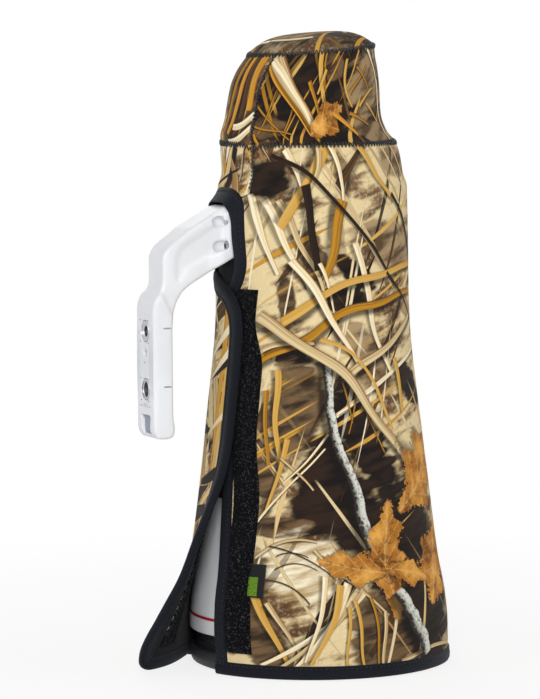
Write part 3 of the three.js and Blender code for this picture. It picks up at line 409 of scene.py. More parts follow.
class Finish:
    """A material. Its shader's fixed values are given by socket name; what varies is connected with set()."""

    def __init__(self, name, **shader):
        self.material = bpy.data.materials.new(name)
        self.material.use_nodes = True
        self.tree = self.material.node_tree
        self.shader = self.tree.nodes["Principled BSDF"]
        self.set(**shader)

    def fill(self, socket, value):
        if isinstance(value, Wire):
            self.tree.links.new(value.socket, socket)
        else:
            socket.default_value = (*value, 1) if socket.type == "RGBA" and len(value) == 3 else value

    def set(self, **values):
        for name, value in values.items():
            self.fill(self.shader.inputs[name.replace("_", " ")], value)
        return self

    def node(self, kind, values=(), out=0, **settings):
        """A node of a kind: its settings first, then the values or links of its sockets. Gives one output."""
        made = self.tree.nodes.new(kind)
        for key, value in settings.items():
            setattr(made, key, value)
        for key, value in values.items() if isinstance(values, dict) else enumerate(values):
            self.fill(made.inputs[key], value)
        return Wire(self, made.outputs[out])

    def mix(self, factor, a, b, way="MIX"):
        return self.node("ShaderNodeMix", {0: factor, 6: a, 7: b}, out=2, data_type="RGBA", blend_type=way)

    def dot(self, at, direction):
        direction = direction if isinstance(direction, Wire) else (*direction, 0)
        return self.node("ShaderNodeVectorMath", (at, direction), out="Value", operation="DOT_PRODUCT")

    def line_noise(self, place):
        return self.node("ShaderNodeTexNoise", {"W": place, "Scale": 1.0, "Detail": 2.0}, noise_dimensions="1D")

    def noise(self, at, scale, detail=2.0, rough=0.5, flat=True):
        return self.node("ShaderNodeTexNoise", {"Vector": at, "Scale": scale, "Detail": detail, "Roughness": rough},
                         noise_dimensions="2D" if flat else "3D")

    def cells(self, at, feature="F1", out="Color", flat=True, scale=1.0):
        return self.node("ShaderNodeTexVoronoi", {"Vector": at, "Scale": scale}, out=out, feature=feature,
                         voronoi_dimensions="2D" if flat else "3D")

    def point(self, x, y, z=0.0):
        return self.node("ShaderNodeCombineXYZ", (x, y, z))

    def cloth_place(self):
        """The place on the flat cloth, in millimetres."""
        place = self.node("ShaderNodeUVMap", uv_map="cloth")
        return self.node("ShaderNodeVectorMath", {0: place, "Scale": 1 / MM}, operation="SCALE")

    def body_place(self):
        """The place in the row's frame, in millimetres."""
        place = self.node("ShaderNodeTexCoord", out="Object")
        return self.node("ShaderNodeVectorMath", {0: place, "Scale": 1 / MM}, operation="SCALE")

    def bump(self, height, depth, strength=1.0):
        """Raises the surface by height, where 1 is depth in millimetres."""
        values = {"Height": height, "Distance": depth * MM, "Strength": strength}
        return self.set(Normal=self.node("ShaderNodeBump", values))


CREAM, STRAW, PALE = (0.78, 0.62, 0.34), (0.68, 0.42, 0.11), (0.95, 0.86, 0.64)
GOLD, OCHRE = (0.56, 0.26, 0.016), (0.25, 0.103, 0.012)
BROWN, BARK, SHADOW = (0.11, 0.054, 0.021), (0.029, 0.016, 0.010), (0.008, 0.006, 0.0055)
# the light and the deep colour of each kind of blade or patch
KINDS = {"pale": (PALE, STRAW), "straw": (CREAM, OCHRE), "gold": (STRAW, GOLD), "ochre": (GOLD, BROWN),
         "dark": (BARK, SHADOW), "bark": (BROWN, SHADOW), "night": (BARK, SHADOW),
         "dusk": ((0.17, 0.10, 0.046), BARK), "smoke": ((0.38, 0.26, 0.135), (0.095, 0.056, 0.028)),
         "fleece": (PALE, (0.47, 0.33, 0.155)), "leaf": ((0.82, 0.42, 0.085), (0.38, 0.14, 0.018)),
         "amber": ((0.74, 0.35, 0.045), (0.38, 0.14, 0.008))}


class Drawing(Finish):
    """A group of nodes with named inputs, so that one drawing serves many marks."""

    def __init__(self, name, **inputs):
        self.tree = bpy.data.node_groups.new(name, "ShaderNodeTree")
        for kind, names in inputs.items():
            for each in names.split():
                self.tree.interface.new_socket(each, in_out="INPUT", socket_type="NodeSocket" + kind)
        self.tree.interface.new_socket("drawn", in_out="OUTPUT", socket_type="NodeSocketColor")
        given = self.tree.nodes.new("NodeGroupInput")
        self.inputs = [Wire(self, socket) for socket in given.outputs[:sum(len(n.split()) for n in inputs.values())]]
        self.end = self.tree.nodes.new("NodeGroupOutput")

    def close(self, colour):
        self.fill(self.end.inputs[0], colour)
        return self.tree


def blades_drawing():
    """Long thin blades: the cells of a Voronoi pattern stretched along an angle and bent by slow waves.

    Each cell's random colour says whether it shows and how light it is.
    """
    f = Drawing("blades", Color="ground light deep", Vector="at ahead aside", Float="seed shown")
    ground, light, deep, at, ahead, aside, seed, shown = f.inputs
    along = f.dot(at, ahead) + seed * 3.7
    across = f.dot(at, aside) + seed * 1.9
    across = across + (along * 2.3 + seed).sine() * 0.9 + (along * 0.9 - seed).sine() * 1.7
    place = f.point(along, across)
    chance = f.node("ShaderNodeSeparateColor", (f.cells(place),))
    edge = f.cells(place, "DISTANCE_TO_EDGE", "Distance")
    cover = edge.step(0.015, 0.06) * chance.step(shown, shown - 0.02)
    streak = f.line_noise(across * 7 + along)
    tone = (streak * 1.1 + chance.other("Green") * 0.9 - 0.6).step(0.0, 1.0)
    skin = f.mix(edge.step(0.12, 0.03) * 0.6, f.mix(tone, light, deep), SHADOW)
    return f.close(f.mix(cover, ground, skin))


def reed_drawing():
    """One long bowed blade with its shadow beside it.

    Its place across is measured from a parabola between its ends, as a share of its half width.
    """
    f = Drawing("reed", Color="ground light deep", Vector="at ahead aside",
                Float="start middle bow half taper shade length")
    ground, light, deep, at, ahead, aside, start, middle, bow, half, taper, shade, length = f.inputs
    along = f.dot(at, ahead) - start
    bowed = f.dot(at, aside) - middle - along * (1 - along) * bow
    place = bowed / ((1 - along * taper) * half)
    within = along.step(0.0, 0.02) * along.step(1.0, 0.98)
    colour = f.mix((place + 0.6).size().step(2.1, 0.9) * within * shade, ground, SHADOW)
    streak = f.line_noise(bowed * 1.6 + along * length * 0.04)
    fine = f.line_noise(bowed * 6.1 + along * length * 0.15)
    tone = (streak * 1.9 + fine * 0.9 + place * 0.3 + place.size().step(0.5, 1.0) * 0.5 - 1.15).step(0.0, 1.0)
    skin = f.mix((place - 0.2).size().step(0.1, 0.02) * 0.5, f.mix(tone, light, deep), deep)
    return f.close(f.mix(place.size().step(1.0, 0.8) * within, colour, skin))


def patch_drawing():
    """A soft oval patch whose edge and tone are broken by the hatching that is passed in."""
    f = Drawing("patch", Color="ground light deep", Vector="at ahead aside", Float="start middle half cover hatch")
    ground, light, deep, at, ahead, aside, start, middle, half, cover, hatch = f.inputs
    along = (f.dot(at, ahead) - start) * 2 - 1
    across = (f.dot(at, aside) - middle) / half
    reach = along * along + across * across + (hatch - 0.5) * 2.2
    return f.close(f.mix(reach.step(1.35, 0.75) * cover, ground, f.mix(hatch.step(0.35, 0.65), light, deep)))


def leaf_drawing():
    """A lobed dead leaf: its half width is a rounded spindle with waves, and veins run out from its midrib."""
    f = Drawing("leaf", Color="ground light deep", Vector="at ahead aside", Float="start middle half lobes ragged tone")
    ground, light, deep, at, ahead, aside, start, middle, half, lobes, ragged, tone = f.inputs
    along = f.dot(at, ahead) - start
    across = (f.dot(at, aside) - middle) / half
    side = across.size()
    ends = f.node("ShaderNodeMath", (along * (1 - along), 0.0), operation="MAXIMUM")
    waves = (along * lobes * (2 * pi) - side * 3 + ragged * 4).sine() * 0.24 + 0.95
    edge = (ends * 2.8 * waves + (ragged - 0.5) * 0.5)
    reach = side / edge.math("MAXIMUM", edge, 0.02)
    within = along.step(0.0, 0.03) * along.step(1.0, 0.97)
    colour = f.mix(reach.step(1.5, 0.95) * within * 0.7, ground, SHADOW)
    vein = (((along - side * 0.4) * lobes * 2).part() - 0.5).size().step(0.09, 0.0)
    rib = side.step(0.05, 0.01)
    shade = (tone * 1.7 + ragged * 0.5 - 0.6 + reach * 0.25).step(0.1, 0.9)
    skin = f.mix(vein.math("MAXIMUM", vein, rib) * 0.5, f.mix(shade, light, deep), (0.74, 0.45, 0.18))
    skin = f.mix((tone - ragged * 0.5).step(0.36, 0.44) * 0.55, skin, BARK)
    return f.close(f.mix(reach.step(1.0, 0.92) * within, colour, skin))


def twig_drawing():
    """A mossy twig: a kinked band with ragged edges, grey-white flakes on one side and dark bark on the other."""
    f = Drawing("twig", Color="ground light deep", Vector="at ahead aside", Float="start middle bow half ragged")
    ground, light, deep, at, ahead, aside, start, middle, bow, half, ragged = f.inputs
    along = f.dot(at, ahead) - start
    kinks = f.line_noise(along * 2.2) * 9 - 4.5
    place = (f.dot(at, aside) - middle - along * (1 - along) * bow - kinks) / half + (ragged - 0.5) * 0.4
    within = along.step(0.0, 0.02) * along.step(1.0, 0.98)
    colour = f.mix((place + 0.7).size().step(2.3, 1.1) * within * 0.8, ground, SHADOW)
    flakes = (ragged * 0.6 + place * 0.35).step(0.1, 0.36)
    skin = f.mix(flakes, deep, f.mix(ragged.step(0.48, 0.66), light, (0.30, 0.31, 0.24)))
    return f.close(f.mix(place.size().step(1.05, 0.85) * within, colour, skin))


BLADES, REED, PATCH, LEAF, TWIG = (draw() for draw in (
    blades_drawing, reed_drawing, patch_drawing, leaf_drawing, twig_drawing))


def lined_up(start, end):
    """The shares that a drawing measures a place by: ahead, aside, and both at the start."""
    start, end = np.array(start, float), np.array(end, float)
    length = float(np.linalg.norm(end - start))
    tx, ty = (float(v) for v in (end - start) / length)
    return (tx / length, ty / length, 0), (-ty, tx, 0), float(start @ (tx, ty)) / length, float(start @ (-ty, tx))


def reed(f, colour, start, end, bow, width, kind, taper=0.7, shade=0.6):
    length = float(np.hypot(end[0] - start[0], end[1] - start[1]))
    return f.node("ShaderNodeGroup", (colour, *KINDS[kind], f.at, *lined_up(start, end), 4 * bow, width / 2, taper,
                                      shade, length), node_tree=REED)


def patch(f, colour, start, end, half, kind, cover=0.9):
    return f.node("ShaderNodeGroup", (colour, *KINDS[kind], f.at, *lined_up(start, end), half, cover, f.hatch),
                  node_tree=PATCH)


def leaf(f, colour, base, tip, half, lobes=4.0):
    return f.node("ShaderNodeGroup", (colour, *KINDS["leaf"], f.at, *lined_up(base, tip), half, lobes, f.ragged,
                                      f.tone), node_tree=LEAF)


def twig(f, colour, start, end, bow, width):
    return f.node("ShaderNodeGroup", (colour, (0.70, 0.69, 0.62), (0.03, 0.025, 0.022), f.at, *lined_up(start, end),
                                      4 * bow, width / 2, f.ragged), node_tree=TWIG)


def knit(f, at):
    """A jersey knit's fine relief: short waves across and along, and the waver of the yarn."""
    x = f.node("ShaderNodeSeparateXYZ", (at,))
    waves = (x * 6.3).sine() * (x.other("Y") * 7.9).sine()
    return f.bump(waves * 0.4 + f.noise(at, 1.7, 2.0), 0.12)


def reaches(mark, left, right, low, high):
    """Whether a mark comes into a rectangle of the cloth."""
    _, start, end, bow, *width = mark
    room = 10 + abs(bow) * 1.2 + (width[0] if width and not isinstance(width[0], str) else 0)
    return (min(start[0], end[0]) - room < right and max(start[0], end[0]) + room > left
            and min(start[1], end[1]) - room < high and max(start[1], end[1]) + room > low)


def grass_print(name, gloom, layers, marks, area=None):
    """Neoprene's printed knit: a cream ground with brown clouds, layers of blades, and single marks.

    With an area (low u, high u, low z, high z) only the marks that reach into it are drawn.
    """
    if area:
        marks = [mark for mark in marks if reaches(mark, *area)]
    f = Finish(name, Roughness=0.85, Sheen_Weight=0.03, Sheen_Roughness=0.5, Specular_IOR_Level=0.14)
    at = f.cloth_place()
    clouds = f.noise(at, 0.017, 5.0, 0.62)
    f.hatch = f.noise(f.point(f.dot(at, (0.030, 0.010)), f.dot(at, (-0.035, 0.125))), 1.0, 4.0, 0.5)
    f.ragged, f.tone = f.noise(at, 0.35, 3.0, 0.65), f.noise(at, 0.06, 4.0, 0.6)
    drift = f.node("ShaderNodeSeparateColor", (f.noise(at, 0.02, 0.0).other("Color"),))
    f.at = f.node("ShaderNodeVectorMath", (at, f.point(drift * 12 - 6, drift.other("Green") * 12 - 6)),
                  operation="ADD")
    colour = f.mix((clouds + (f.hatch - 0.5) * 0.9).step(0.44 - gloom, 0.70 - gloom), CREAM, (0.31, 0.195, 0.088))
    colour = f.mix((clouds * 0.6 + f.hatch * 0.5).step(0.56 - gloom, 0.70 - gloom), colour, BROWN)
    colour = f.mix(f.ragged.step(0.5, 0.72) * 0.24, colour, PALE)
    split = [mark[0] is patch for mark in marks + [(reed,)]].index(False)
    for draw, *sizes in marks[:split]:
        colour = draw(f, colour, *sizes)
    for angle, length, width, shown, kind, seed in layers:
        c, s = cos(radians(angle)), sin(radians(angle))
        values = (colour, *KINDS[kind], at, (c / length, s / length, 0), (-s / width, c / width, 0), seed, shown)
        colour = f.node("ShaderNodeGroup", values, node_tree=BLADES)
    for draw, *sizes in marks[split:]:
        colour = draw(f, colour, *sizes)
    colour = f.mix(0.3, colour, f.mix(f.noise(at, 2.2, 2.0), (0.4, 0.4, 0.4), (1.35, 1.35, 1.35)), "MULTIPLY")
    f.set(Base_Color=colour)
    return knit(f, at).material


# angle, length, width, share that shows, kind and seed of each layer of blades
GROUND_LAYERS = [
    (62, 60, 3.4, 0.05, "bark", 1.0), (-55, 80, 2.4, 0.06, "straw", 2.0), (28, 80, 2.2, 0.04, "gold", 4.0),
    (74, 70, 2.0, 0.05, "pale", 6.0)]
TOP_LAYERS = [(-58, 70, 3, 0.10, "ochre", 12.0), (52, 60, 2.4, 0.10, "gold", 15.0)]
BACK_LAYERS = GROUND_LAYERS + [
    (62, 70, 13, 0.28, "bark", 1.5), (-58, 85, 9, 0.26, "straw", 2.5), (-72, 95, 7, 0.24, "gold", 5.5),
    (48, 80, 6, 0.22, "pale", 6.5), (20, 60, 9, 0.2, "dark", 7.5)]
BODY_MARKS = [
    (patch, (112, 278), (186, 266), 13, "smoke", 0.9), (patch, (140, 328), (190, 320), 9, "smoke", 0.9),
    (patch, (96, 334), (106, 300), 8, "smoke", 0.9), (patch, (96, 300), (100, 262), 6, "smoke", 0.6),
    (patch, (74, 284), (86, 246), 8, "dusk", 0.97), (patch, (60, 254), (62, 222), 7, "dusk", 0.97),
    (patch, (82, 238), (126, 236), 7, "night", 1.0), (patch, (96, 262), (126, 246), 7, "night", 1.0),
    (patch, (96, 217), (134, 203), 12, "smoke", 0.9), (patch, (44, 206), (78, 204), 6, "night", 1.0),
    (patch, (69, 204), (66, 138), 18, "dusk", 0.97), (patch, (110, 197), (142, 184), 10, "smoke", 0.9),
    (patch, (148, 190), (184, 168), 12, "night", 1.0), (patch, (92, 190), (134, 112), 16, "night", 1.0),
    (patch, (148, 242), (186, 222), 7, "smoke", 0.9), (patch, (42, 176), (50, 104), 10, "dusk", 0.97),
    (patch, (90, 158), (82, 84), 17, "night", 1.0), (patch, (104, 130), (110, 76), 15, "night", 1.0),
    (patch, (132, 130), (160, -6), 32, "night", 1.0), (patch, (108, 48), (124, 0), 16, "dusk", 0.97),
    (patch, (40, 100), (80, 96), 7, "dusk", 0.97), (patch, (42, 86), (54, 60), 7, "smoke", 0.9),
    (patch, (42, 54), (62, 4), 12, "dusk", 0.97), (patch, (50, 76), (100, 58), 24, "fleece", 0.93),
    # the upper part
    (reed, (35, 304), (56, 252), 1, 6.5, "pale", 0.5), (reed, (44, 302), (78, 244), 2, 6.5, "pale", 0.6),
    (reed, (54, 300), (92, 234), 3, 5, "straw", 0.6), (reed, (92, 336), (58, 282), -3, 9.5, "gold", 0.3),
    (reed, (84, 332), (70, 298), 2, 5, "straw", 0.5), (reed, (58, 334), (68, 308), 0, 6, "pale", 0.8),
    (reed, (98, 308), (126, 334), 4, 9, "bark", 0.8), (reed, (94, 336), (104, 296), 1, 5, "pale", 0.7),
    (reed, (71, 310), (83, 256), 2, 7.5, "dark", 0.4), (reed, (103, 300), (88, 250), 2, 9.5, "ochre", 0.35),
    (reed, (117, 338), (152, 298), -2, 5, "gold", 0.4), (reed, (148, 304), (184, 266), 1, 3.4, "dark", 0.3),
    (reed, (46, 333), (150, 247), 6, 3.2, "dark", 0.3),
    # the middle
    (reed, (112, 274), (142, 186), 0, 5.5, "pale", 0.5), (reed, (84, 262), (101, 220), 1, 3, "pale", 0.7),
    (reed, (56, 223), (184, 262), 8, 6, "gold", 0.3, 0.8), (reed, (38, 197), (184, 243), 10, 6, "ochre", 0.2, 0.8),
    (reed, (66, 264), (117, 192), 2, 6.5, "pale", 0.5, 0.8), (reed, (107, 190), (184, 227), 0, 6, "straw", 0.3, 0.8),
    (reed, (94, 165), (184, 205), 3, 3.6, "pale", 0.4), (reed, (140, 257), (184, 222), 0, 2.4, "dark", 0.3),
    (reed, (54, 194), (58, 136), 0, 5, "gold", 0.3), (reed, (47, 180), (49, 136), 1, 4, "ochre", 0.3),
    (reed, (64, 152), (50, 106), -1, 4, "gold", 0.5), (reed, (44, 101), (86, 143), 1, 2.0, "pale", 0.4),
    (reed, (58, 141), (79, 117), 0, 1.8, "straw", 0.4), (reed, (89, 153), (60, 124), 1, 2.0, "pale", 0.4),
    (reed, (96, 167), (122, 177), 1, 2.2, "pale", 0.4), (reed, (146, 198), (151, 162), 0, 4.5, "gold", 0.4),
    (reed, (44, 206), (80, 214), 3, 4, "straw", 0.5), (reed, (100, 186), (108, 160), 1, 1.6, "ochre", 0.4),
    (reed, (112, 182), (104, 152), 1, 1.6, "ochre", 0.4), (reed, (118, 172), (130, 140), 1, 1.8, "ochre", 0.4),
    (twig, (86, 205), (119, 80), -7, 7), (reed, (37, 227), (152, 118), 19, 8.5, "straw", 0.35, 0.8),
    (reed, (84, 216), (140, 152), 12, 3, "gold", 0.3, 0.3),
    # the foot of the print: leaves, a fan of reeds and a twig
    (reed, (84, 82), (122, 38), -2, 2.4, "straw", 0.4), (reed, (44, 78), (86, 87), 6, 2.6, "straw", 0.4),
    (reed, (54, 86), (94, 60), 4, 1.3, "bark", 0.3), (reed, (56, 68), (84, 66), 5, 1.0, "bark", 0.2),
    (reed, (50, 62), (76, 44), 3, 1.0, "bark", 0.2), (reed, (58, 78), (80, 76), 3, 1.0, "bark", 0.2),
    (reed, (46, 54), (66, 12), 1, 4.5, "gold", 0.5),
    (reed, (54, 48), (72, 18), 1, 3, "straw", 0.5), (reed, (109, 51), (50, 12), 3, 5, "pale", 0.5),
    (reed, (107, 53), (62, 10), 2, 5, "straw", 0.5), (reed, (101, 57), (69, 8), 2, 5.5, "pale", 0.6),
    (reed, (96, 56), (78, 10), 1, 5, "gold", 0.6), (reed, (88, 62), (75, 12), 0, 4, "pale", 0.7),
    (reed, (102, 46), (108, 10), 0, 2.6, "gold", 0.4), (reed, (112, 48), (116, 12), 1, 2.2, "ochre", 0.4),
    (reed, (120, 40), (118, 10), 0, 2.8, "straw", 0.4), (reed, (98, 42), (98, 10), 0, 2.2, "gold", 0.4),
    (reed, (128, 11.5), (182, 12.5), 0, 3.4, "straw", 0.2),
    (leaf, (186, 96), (154, 40), 22, 3.0), (leaf, (136, 104), (186, 146), 27, 3.0),
    (leaf, (128, 34), (126, 116), 20, 3.0), (leaf, (128, 62), (84, 74), 17, 3.0),
    (leaf, (126, 66), (156, 56), 12, 2.0), (twig, (130, 50), (150, 8), 0, 8),
    (patch, (28, 313), (60, 315), 15, "night", 1.0)]
BACK_MARKS = [
    (patch, (214, 120), (250, 40), 26, "night", 1.0), (patch, (330, 250), (360, 140), 24, "dusk", 0.97),
    (patch, (400, 90), (440, 30), 22, "night", 1.0), (patch, (230, 300), (290, 290), 18, "smoke", 0.9),
    (reed, (210, 300), (262, 200), -6, 9, "pale", 0.7), (reed, (280, 310), (232, 210), 6, 8, "gold", 0.6),
    (leaf, (250, 130), (300, 90), 24, 3.0), (twig, (322, 250), (300, 120), -6, 7),
    (reed, (214, 160), (300, 220), -9, 7, "straw", 0.6), (reed, (270, 20), (246, 110), 5, 7, "pale", 0.8),
    (reed, (274, 20), (300, 108), -4, 6, "straw", 0.8), (reed, (340, 60), (388, 190), 8, 8, "gold", 0.7),
    (leaf, (420, 60), (380, 110), 22, 3.0), (reed, (360, 320), (430, 200), 10, 8, "straw", 0.5)]
# the sleeve beside its seam on the foot's side is drawn one turn further along its cloth
ROUND = 2 * pi * UNROLL
TOP_MARKS = [
    (patch, (20, 366), (176, 366), 46, "night", 1.0), (patch, (124, 374), (168, 368), 20, "smoke", 0.9),
    (patch, (120, 345), (168, 342), 7, "smoke", 0.8), (patch, (36, 352), (62, 346), 8, "dusk", 0.9),
    (patch, (100, 384), (122, 380), 8, "dusk", 0.9),
    (reed, (36, 368), (64, 338), 1, 2, "ochre", 0.4), (reed, (58, 374), (40, 346), 1, 2, "ochre", 0.4),
    (reed, (34, 352), (68, 341), 1, 1.8, "ochre", 0.4), (reed, (72, 362), (62, 344), 1, 2, "ochre", 0.4),
    (reed, (92, 396), (102, 358), 2, 5.5, "gold", 0.3), (reed, (99, 394), (104, 366), 1, 2.4, "ochre", 0.4),
    (reed, (88, 374), (96, 350), 1, 4, "ochre", 0.3), (reed, (104, 380), (96, 364), 1, 3, "gold", 0.4),
    (reed, (123, 390), (130, 356), -4, 2.8, "gold", 0.4), (reed, (127, 366), (150, 386), 3, 2.6, "ochre", 0.4),
    (reed, (134, 386), (152, 370), 2, 2.2, "ochre", 0.4), (reed, (138, 358), (158, 372), 2, 2.6, "gold", 0.4),
    (reed, (126, 352), (146, 346), 1, 3, "ochre", 0.4), (reed, (148, 362), (164, 348), 1, 2.6, "gold", 0.4),
    (reed, (35, 397), (91, 337), 7, 15, "ochre", 0.35, 0.4), (reed, (37, 397), (91, 339), 7, 11, "straw", 0.35, 0.5),
    (reed, (43, 391), (88, 342), 7.5, 5, "pale", 0.35, 0.2), (reed, (36, 392), (84, 338), 5, 2.2, "amber", 0.4),
    (reed, (148, 396), (170, 370), 5, 3.2, "pale", 0.3), (reed, (170, 376), (172, 334), 1, 3.4, "pale", 0.3),
    (leaf, (83, 339), (120, 357), 13, 2.0), (reed, (110, 352), (128, 339), 1, 4, "amber", 0.4),
    (patch, (ROUND - 12, 366), (ROUND + 38, 366), 46, "dusk", 1.0),
    (reed, (ROUND + 31, 400), (ROUND + 26, 354), -2, 14, "amber", 0.3),
    (reed, (ROUND + 20, 400), (ROUND + 13, 338), 2, 9, "bark", 0.3),
    (reed, (ROUND + 26, 396), (ROUND + 18, 336), 2, 2.2, "gold", 0.3),
    (reed, (ROUND + 12, 392), (ROUND + 2, 340), 2, 8, "amber", 0.3),
    (reed, (ROUND + 36, 353), (ROUND + 8, 345), 2, 6, "pale", 0.4),
    (reed, (ROUND + 33, 344), (ROUND + 4, 336), 1, 5, "pale", 0.4),
    (reed, (ROUND, 392), (ROUND - 10, 340), 2, 8, "ochre", 0.3)]


def cloth_tape(name, colour, rough=0.62, sheen=0.06, ribs=1.6):
    """A knitted tape: fine ribs along it over a little yarn noise, both in the relief and in the colour."""
    f = Finish(name, Roughness=rough, Sheen_Weight=sheen, Sheen_Roughness=0.45, Specular_IOR_Level=0.12)
    at = f.cloth_place()
    rib = (f.dot(at, (ribs, ribs * 4)) * pi).sine()
    mottle = f.noise(at, 0.9, 3.0)
    light = tuple(min(1.0, c * 1.9) for c in colour)
    f.set(Base_Color=f.mix((rib * 0.15 + mottle).step(0.3, 0.95), colour, light))
    return f.bump(rib * 0.3 + mottle, 0.12).material


def loop_pile(name):
    """Black loop pile: dense dark tufts with a few lighter specks, and painted shade that darkens the low gaps between
    the tufts.
    """
    f = Finish(name, Roughness=0.95, Sheen_Weight=0.02, Sheen_Roughness=0.6, Specular_IOR_Level=0.06)
    at = f.cloth_place()
    tufts = f.cells(at, out="Distance", scale=1.1)
    chance = f.node("ShaderNodeSeparateColor", (f.cells(at, scale=1.6),))
    speck = chance.step(0.84, 0.95)
    # painted shade: each tuft is lighter at its middle and darker towards the low gaps between the tufts
    colour = f.mix(tufts.step(0.1, 0.7), (0.0075, 0.0075, 0.009), (0.0018, 0.0018, 0.0024))
    f.set(Base_Color=f.mix(speck * 0.6, colour, (0.085, 0.085, 0.095)))
    return f.bump(1 - tufts, 0.5).material


def painted(name, colour, rough, coat=0.0):
    """Sprayed paint: an even colour, with a very fine texture in relief, roughness and tone."""
    f = Finish(name, Coat_Weight=coat, Coat_Roughness=0.15, Specular_IOR_Level=0.3)
    at = f.body_place()
    grain, patch = f.noise(at, 0.9, 2.0, flat=False), f.noise(at, 0.03, 2.0, flat=False)
    worn = tuple(c * 0.94 for c in colour)
    f.set(Base_Color=f.mix(patch.step(0.35, 0.7), colour, worn), Roughness=rough + (patch - 0.5) * 0.12)
    return f.bump(grain, 0.03).material


def moulded(name, colour, rough, depth=0.06, scale=2.2):
    """Moulded plastic or rubber: a fine spark-eroded grain."""
    f = Finish(name, Specular_IOR_Level=0.4)
    at = f.body_place()
    grain = f.noise(at, scale, 3.0, flat=False)
    light = tuple(min(1.0, c * 1.7 + 0.004) for c in colour)
    f.set(Base_Color=f.mix(grain.step(0.4, 0.75), colour, light), Roughness=rough + (grain - 0.5) * 0.2)
    return f.bump(grain, depth).material


def machined(name, colour, rough):
    """Machined metal: rings of fine tool marks in the relief and the roughness."""
    f = Finish(name, Metallic=1.0)
    at = f.body_place()
    marks = f.noise(f.node("ShaderNodeVectorMath", (at, (0.4, 0.4, 6.0)), operation="MULTIPLY"), 1.0, 2.0, flat=False)
    f.set(Base_Color=f.mix(marks.step(0.3, 0.7), colour, tuple(c * 0.82 for c in colour)),
          Roughness=rough + (marks - 0.5) * 0.15)
    return f.bump(marks, 0.02).material


def coated_glass(name):
    """Polished glass with a faint violet-green coating."""
    f = Finish(name, Transmission_Weight=1.0, IOR=1.5, Coat_Weight=0.5, Coat_Roughness=0.02)
    at = f.body_place()
    tint = f.noise(at, 0.02, 1.0, flat=False)
    f.set(Base_Color=f.mix(tint, (0.80, 0.86, 0.95), (0.86, 0.92, 0.88)), Roughness=0.01 + tint * 0.02)
    return f.material


# parts of the body's print, each with a shader of its own: low u, high u, low z, high z
AREAS = [(-999, 999, -99, 999), (20, 110, 0, 70), (110, 205, 0, 70), (20, 110, 70, 140), (110, 205, 70, 140),
         (20, 110, 140, 215), (110, 205, 140, 215), (20, 110, 215, 280), (110, 205, 215, 280), (20, 205, 280, 340)]
PRINTS = [grass_print(f"print_body_{k}", 0.0, GROUND_LAYERS if k else BACK_LAYERS, BODY_MARKS if k else BACK_MARKS,
                      area) for k, area in enumerate(AREAS)]
PRINT_TOP = grass_print("print_top", 0.10, TOP_LAYERS, TOP_MARKS)
PRINT_FLAP = grass_print("print_flap", 0.05, BACK_LAYERS, BACK_MARKS[:1])
TAPE = cloth_tape("binding_tape", (0.0045, 0.0056, 0.0092), sheen=0.045)
LINING = cloth_tape("lining", (0.0052, 0.0056, 0.0072), 0.9, 0.08, 0.9)
WEBBING = cloth_tape("tab_cloth", (0.008, 0.008, 0.008), 0.7, 0.2, 0.7)
GREEN = cloth_tape("tab_stripe", (0.085, 0.17, 0.012), 0.7, 0.1, 0.7)
# painted shade: a very dark steel for the bores' threads and floors, standing in for the shade inside each bore
BORE_SHADE_STEEL = machined("bore_shade_steel", (0.075, 0.075, 0.08), 0.5)
THREAD = cloth_tape("black_thread", (0.008, 0.008, 0.009), 0.6, 0.3, 3.0)
PALE_THREAD = cloth_tape("pale_thread", (0.30, 0.30, 0.31), 0.6, 0.3, 3.0)
PILE = loop_pile("loop_pile")
HOOKS = loop_pile("hook_tape")
WHITE = painted("white_paint", (0.80, 0.81, 0.835), 0.42, coat=0.06)
# painted shade: a dark blue-grey for the plates laid into the foot's recess and pin hole
RECESS_SHADE = painted("painted_recess_shade", (0.30, 0.325, 0.40), 0.5)
# painted shade: a darker grey so that the foot's ribs and dots show as relief in shade
GROOVE_SHADE_PAINT = painted("painted_groove_shade", (0.56, 0.585, 0.63), 0.4, coat=0.2)
RED = painted("red_paint", (0.50, 0.012, 0.018), 0.3, coat=0.3)
MARKING = painted("grey_marking", (0.33, 0.34, 0.42), 0.45)
BLACK = moulded("black_plastic", (0.014, 0.014, 0.016), 0.45)
RUBBER = moulded("ring_rubber", (0.016, 0.016, 0.017), 0.72, 0.1)
CAP_CLOTH = moulded("cap_cloth", (0.011, 0.012, 0.016), 0.6, 0.12, 1.2)
STEEL = machined("bare_steel", (0.55, 0.55, 0.56), 0.28)
GLASS = coated_glass("coated_glass")


def dressed(piece, *materials):
    """Gives a piece its materials."""
    for material in materials:
        piece.data.materials.append(material)
    return piece


def wear(piece, body, *materials, replaces=(), slot=None):
    """Gives a piece its materials and its body, and hides the imported nodes that it replaces. The slot is not used."""
    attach(dressed(piece, *materials), body)
    if replaces:
        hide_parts(*replaces)
    return piece


# ---- The cover's body ----
ROUTE = opening_route()
rising = ROUTE[: int(np.argmax(ROUTE[:, 1] >= KEYHOLE_TOP - KEYHOLE_CORNER)) + 1]
TUCK = 4.5  # the printed cloth ends this far inside the binding
KEYHOLE_ROW = KEYHOLE_TOP + TUCK
SEAM = [(300, 25.5), (320, 26.5), (335, 27.8), (355, 28.6), (375, 30), (394, 32.4)]  # height, alpha in degrees


def slit_y(z):
    """Y of the opening's edge on the strip's side."""
    return np.interp(z, rising[:, 1], rising[:, 0])


def print_grid(z, first, last, fabric, opening):
    """Columns of alpha at each height: from the first edge round the back to the last, then over the opening."""
    back = first[:, None] + (last - first)[:, None] * np.linspace(0, 1, fabric)
    front = last[:, None] + (first + 2 * pi - last)[:, None] * np.linspace(0, 1, opening + 1)[1:]
    alpha = np.concatenate([back, front], 1)
    flat = np.stack([alpha * UNROLL, np.repeat(z[:, None], alpha.shape[1], 1)], -1)
    return alpha, flat


